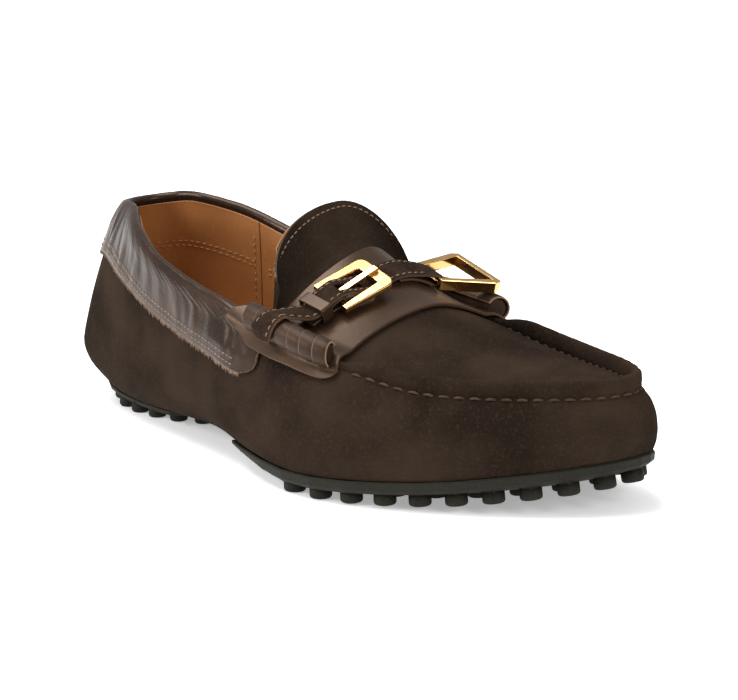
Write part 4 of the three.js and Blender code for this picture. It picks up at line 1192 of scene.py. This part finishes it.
frontPlaces = spaced(insetRing(6.4), -1.4, 1.4, 13) + spaced(insetRing(20.5), -1.3, 1.3, 15)
frontPlaces += spaced(insetRing(34.5), -1.15, 1.15, 15)
frontPlaces += [Vector((x, spineY(x) - 3, 0)) for x in (24, 40, 56, 72)]
nubs("forefootNubs", frontPlaces, lambda x: undersideHeight(x) - gap - 0.05 - plateDepth(x),
     soleLook["frontRadius"], lambda base: min(4.1, base + 0.15))


def heelRing(across, along):
    return lambda angle: Vector((-88 + along * math.cos(angle), spineY(-88) + across * math.sin(angle), 0))


heelPlaces = spaced(heelRing(18, 31), 0.1, turn + 0.1, 10.6) + spaced(heelRing(7.5, 19), 0.3, turn + 0.3, 11)
nubs("heelNubs", heelPlaces, lambda x: undersideHeight(x) - gap - 1.6,
     soleLook["heelRadius"], lambda base: min(base + 0.15, 4.9))
print("sole made")

# CAD nodes that stay: finishes, and softened metal edges
kept = {
    "forefoot_outsole": "rubber", "heel_outsole": "rubber",
    "buckle_frame": "gold", "buckle_prong": "gold", "ring": "gold",
    "heel_counter": "board", "insole_board": "board",
    "footbed_foam": "foam", "collar_padding": "foam",
}
for node, look in kept.items():
    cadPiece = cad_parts[node]
    cadPiece.data.materials.clear()
    cadPiece.data.materials.append(materials[look])
    if look == "gold":
        weld = cadPiece.modifiers.new("weld", "WELD")
        weld.merge_threshold = 0.00001
        soft = cadPiece.modifiers.new("soft edges", "BEVEL")
        soft.width = 0.0005
        soft.segments = 3
        soft.limit_method = "ANGLE"
        soft.angle_limit = math.radians(28)

# stage, light and camera
floorSize = 12.0
floorMesh = bpy.data.meshes.new("floor")
floorCorners = [(x * floorSize, y * floorSize, -0.0001) for x, y in ((-1, -1), (1, -1), (1, 1), (-1, 1))]
floorMesh.from_pydata(floorCorners, [], [(0, 1, 2, 3)])
floorMaterial = bpy.data.materials.new("paleFloor")
floorMaterial.use_nodes = True
floorShader = floorMaterial.node_tree.nodes["Principled BSDF"]
floorShader.inputs["Base Color"].default_value = (0.93, 0.93, 0.93, 1)
floorShader.inputs["Roughness"].default_value = 0.8
floorShader.inputs["Emission Color"].default_value = (1, 1, 1, 1)
floorShader.inputs["Emission Strength"].default_value = 0.35
floorMesh.materials.append(floorMaterial)
floor = bpy.data.objects.new("floor", floorMesh)
bpy.context.scene.collection.objects.link(floor)
floor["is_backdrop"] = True

world = bpy.data.worlds.new("studio")
bpy.context.scene.world = world
world.use_nodes = True
world.node_tree.nodes["Background"].inputs["Color"].default_value = (1, 1, 1, 1)
world.node_tree.nodes["Background"].inputs["Strength"].default_value = 0.5

aim = Vector((-2.4, 26.05, 34.5)) * 0.001
lights = {
    "overheadSoftbox": {"at": (-0.25, -0.2, 1.2), "size": 0.9, "watts": 20},
    "leftSoftbox": {"at": (-0.6, -0.95, 0.55), "size": 0.5, "watts": 9},
    "rightSoftbox": {"at": (1.1, -0.1, 0.6), "size": 0.5, "watts": 5},
}
for name, light in lights.items():
    lamp = bpy.data.lights.new(name, "AREA")
    lamp.size = light["size"]
    lamp.energy = light["watts"]
    lampObject = bpy.data.objects.new(name, lamp)
    lampObject.location = light["at"]
    lampObject.rotation_mode = "QUATERNION"
    lampObject.rotation_quaternion = (aim - Vector(light["at"])).to_track_quat("-Z", "Y")
    bpy.context.scene.collection.objects.link(lampObject)

view = {"azimuth": 45.5, "elevation": 13.3, "distance": 1.299, "lens": 165.85}
a = math.radians(view["azimuth"])
e = math.radians(view["elevation"])
back = Vector((math.sin(a) * math.cos(e), -math.cos(a) * math.cos(e), math.sin(e)))
cameraData = bpy.data.cameras.new("camera")
cameraData.lens = view["lens"]
cameraData.sensor_width = 36
camera = bpy.data.objects.new("camera", cameraData)
camera.location = aim + back * view["distance"]
camera.rotation_mode = "QUATERNION"
camera.rotation_quaternion = (-back).to_track_quat("-Z", "Y")
bpy.context.scene.collection.objects.link(camera)
bpy.context.scene.camera = camera
bpy.context.scene.view_settings.view_transform = "Standard"

newLow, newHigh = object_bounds()
grown = [[round(v * 1000, 2) for v in side] for side in (newLow - cadLow, newHigh - cadHigh)]
print("size", grown[0], grown[1])
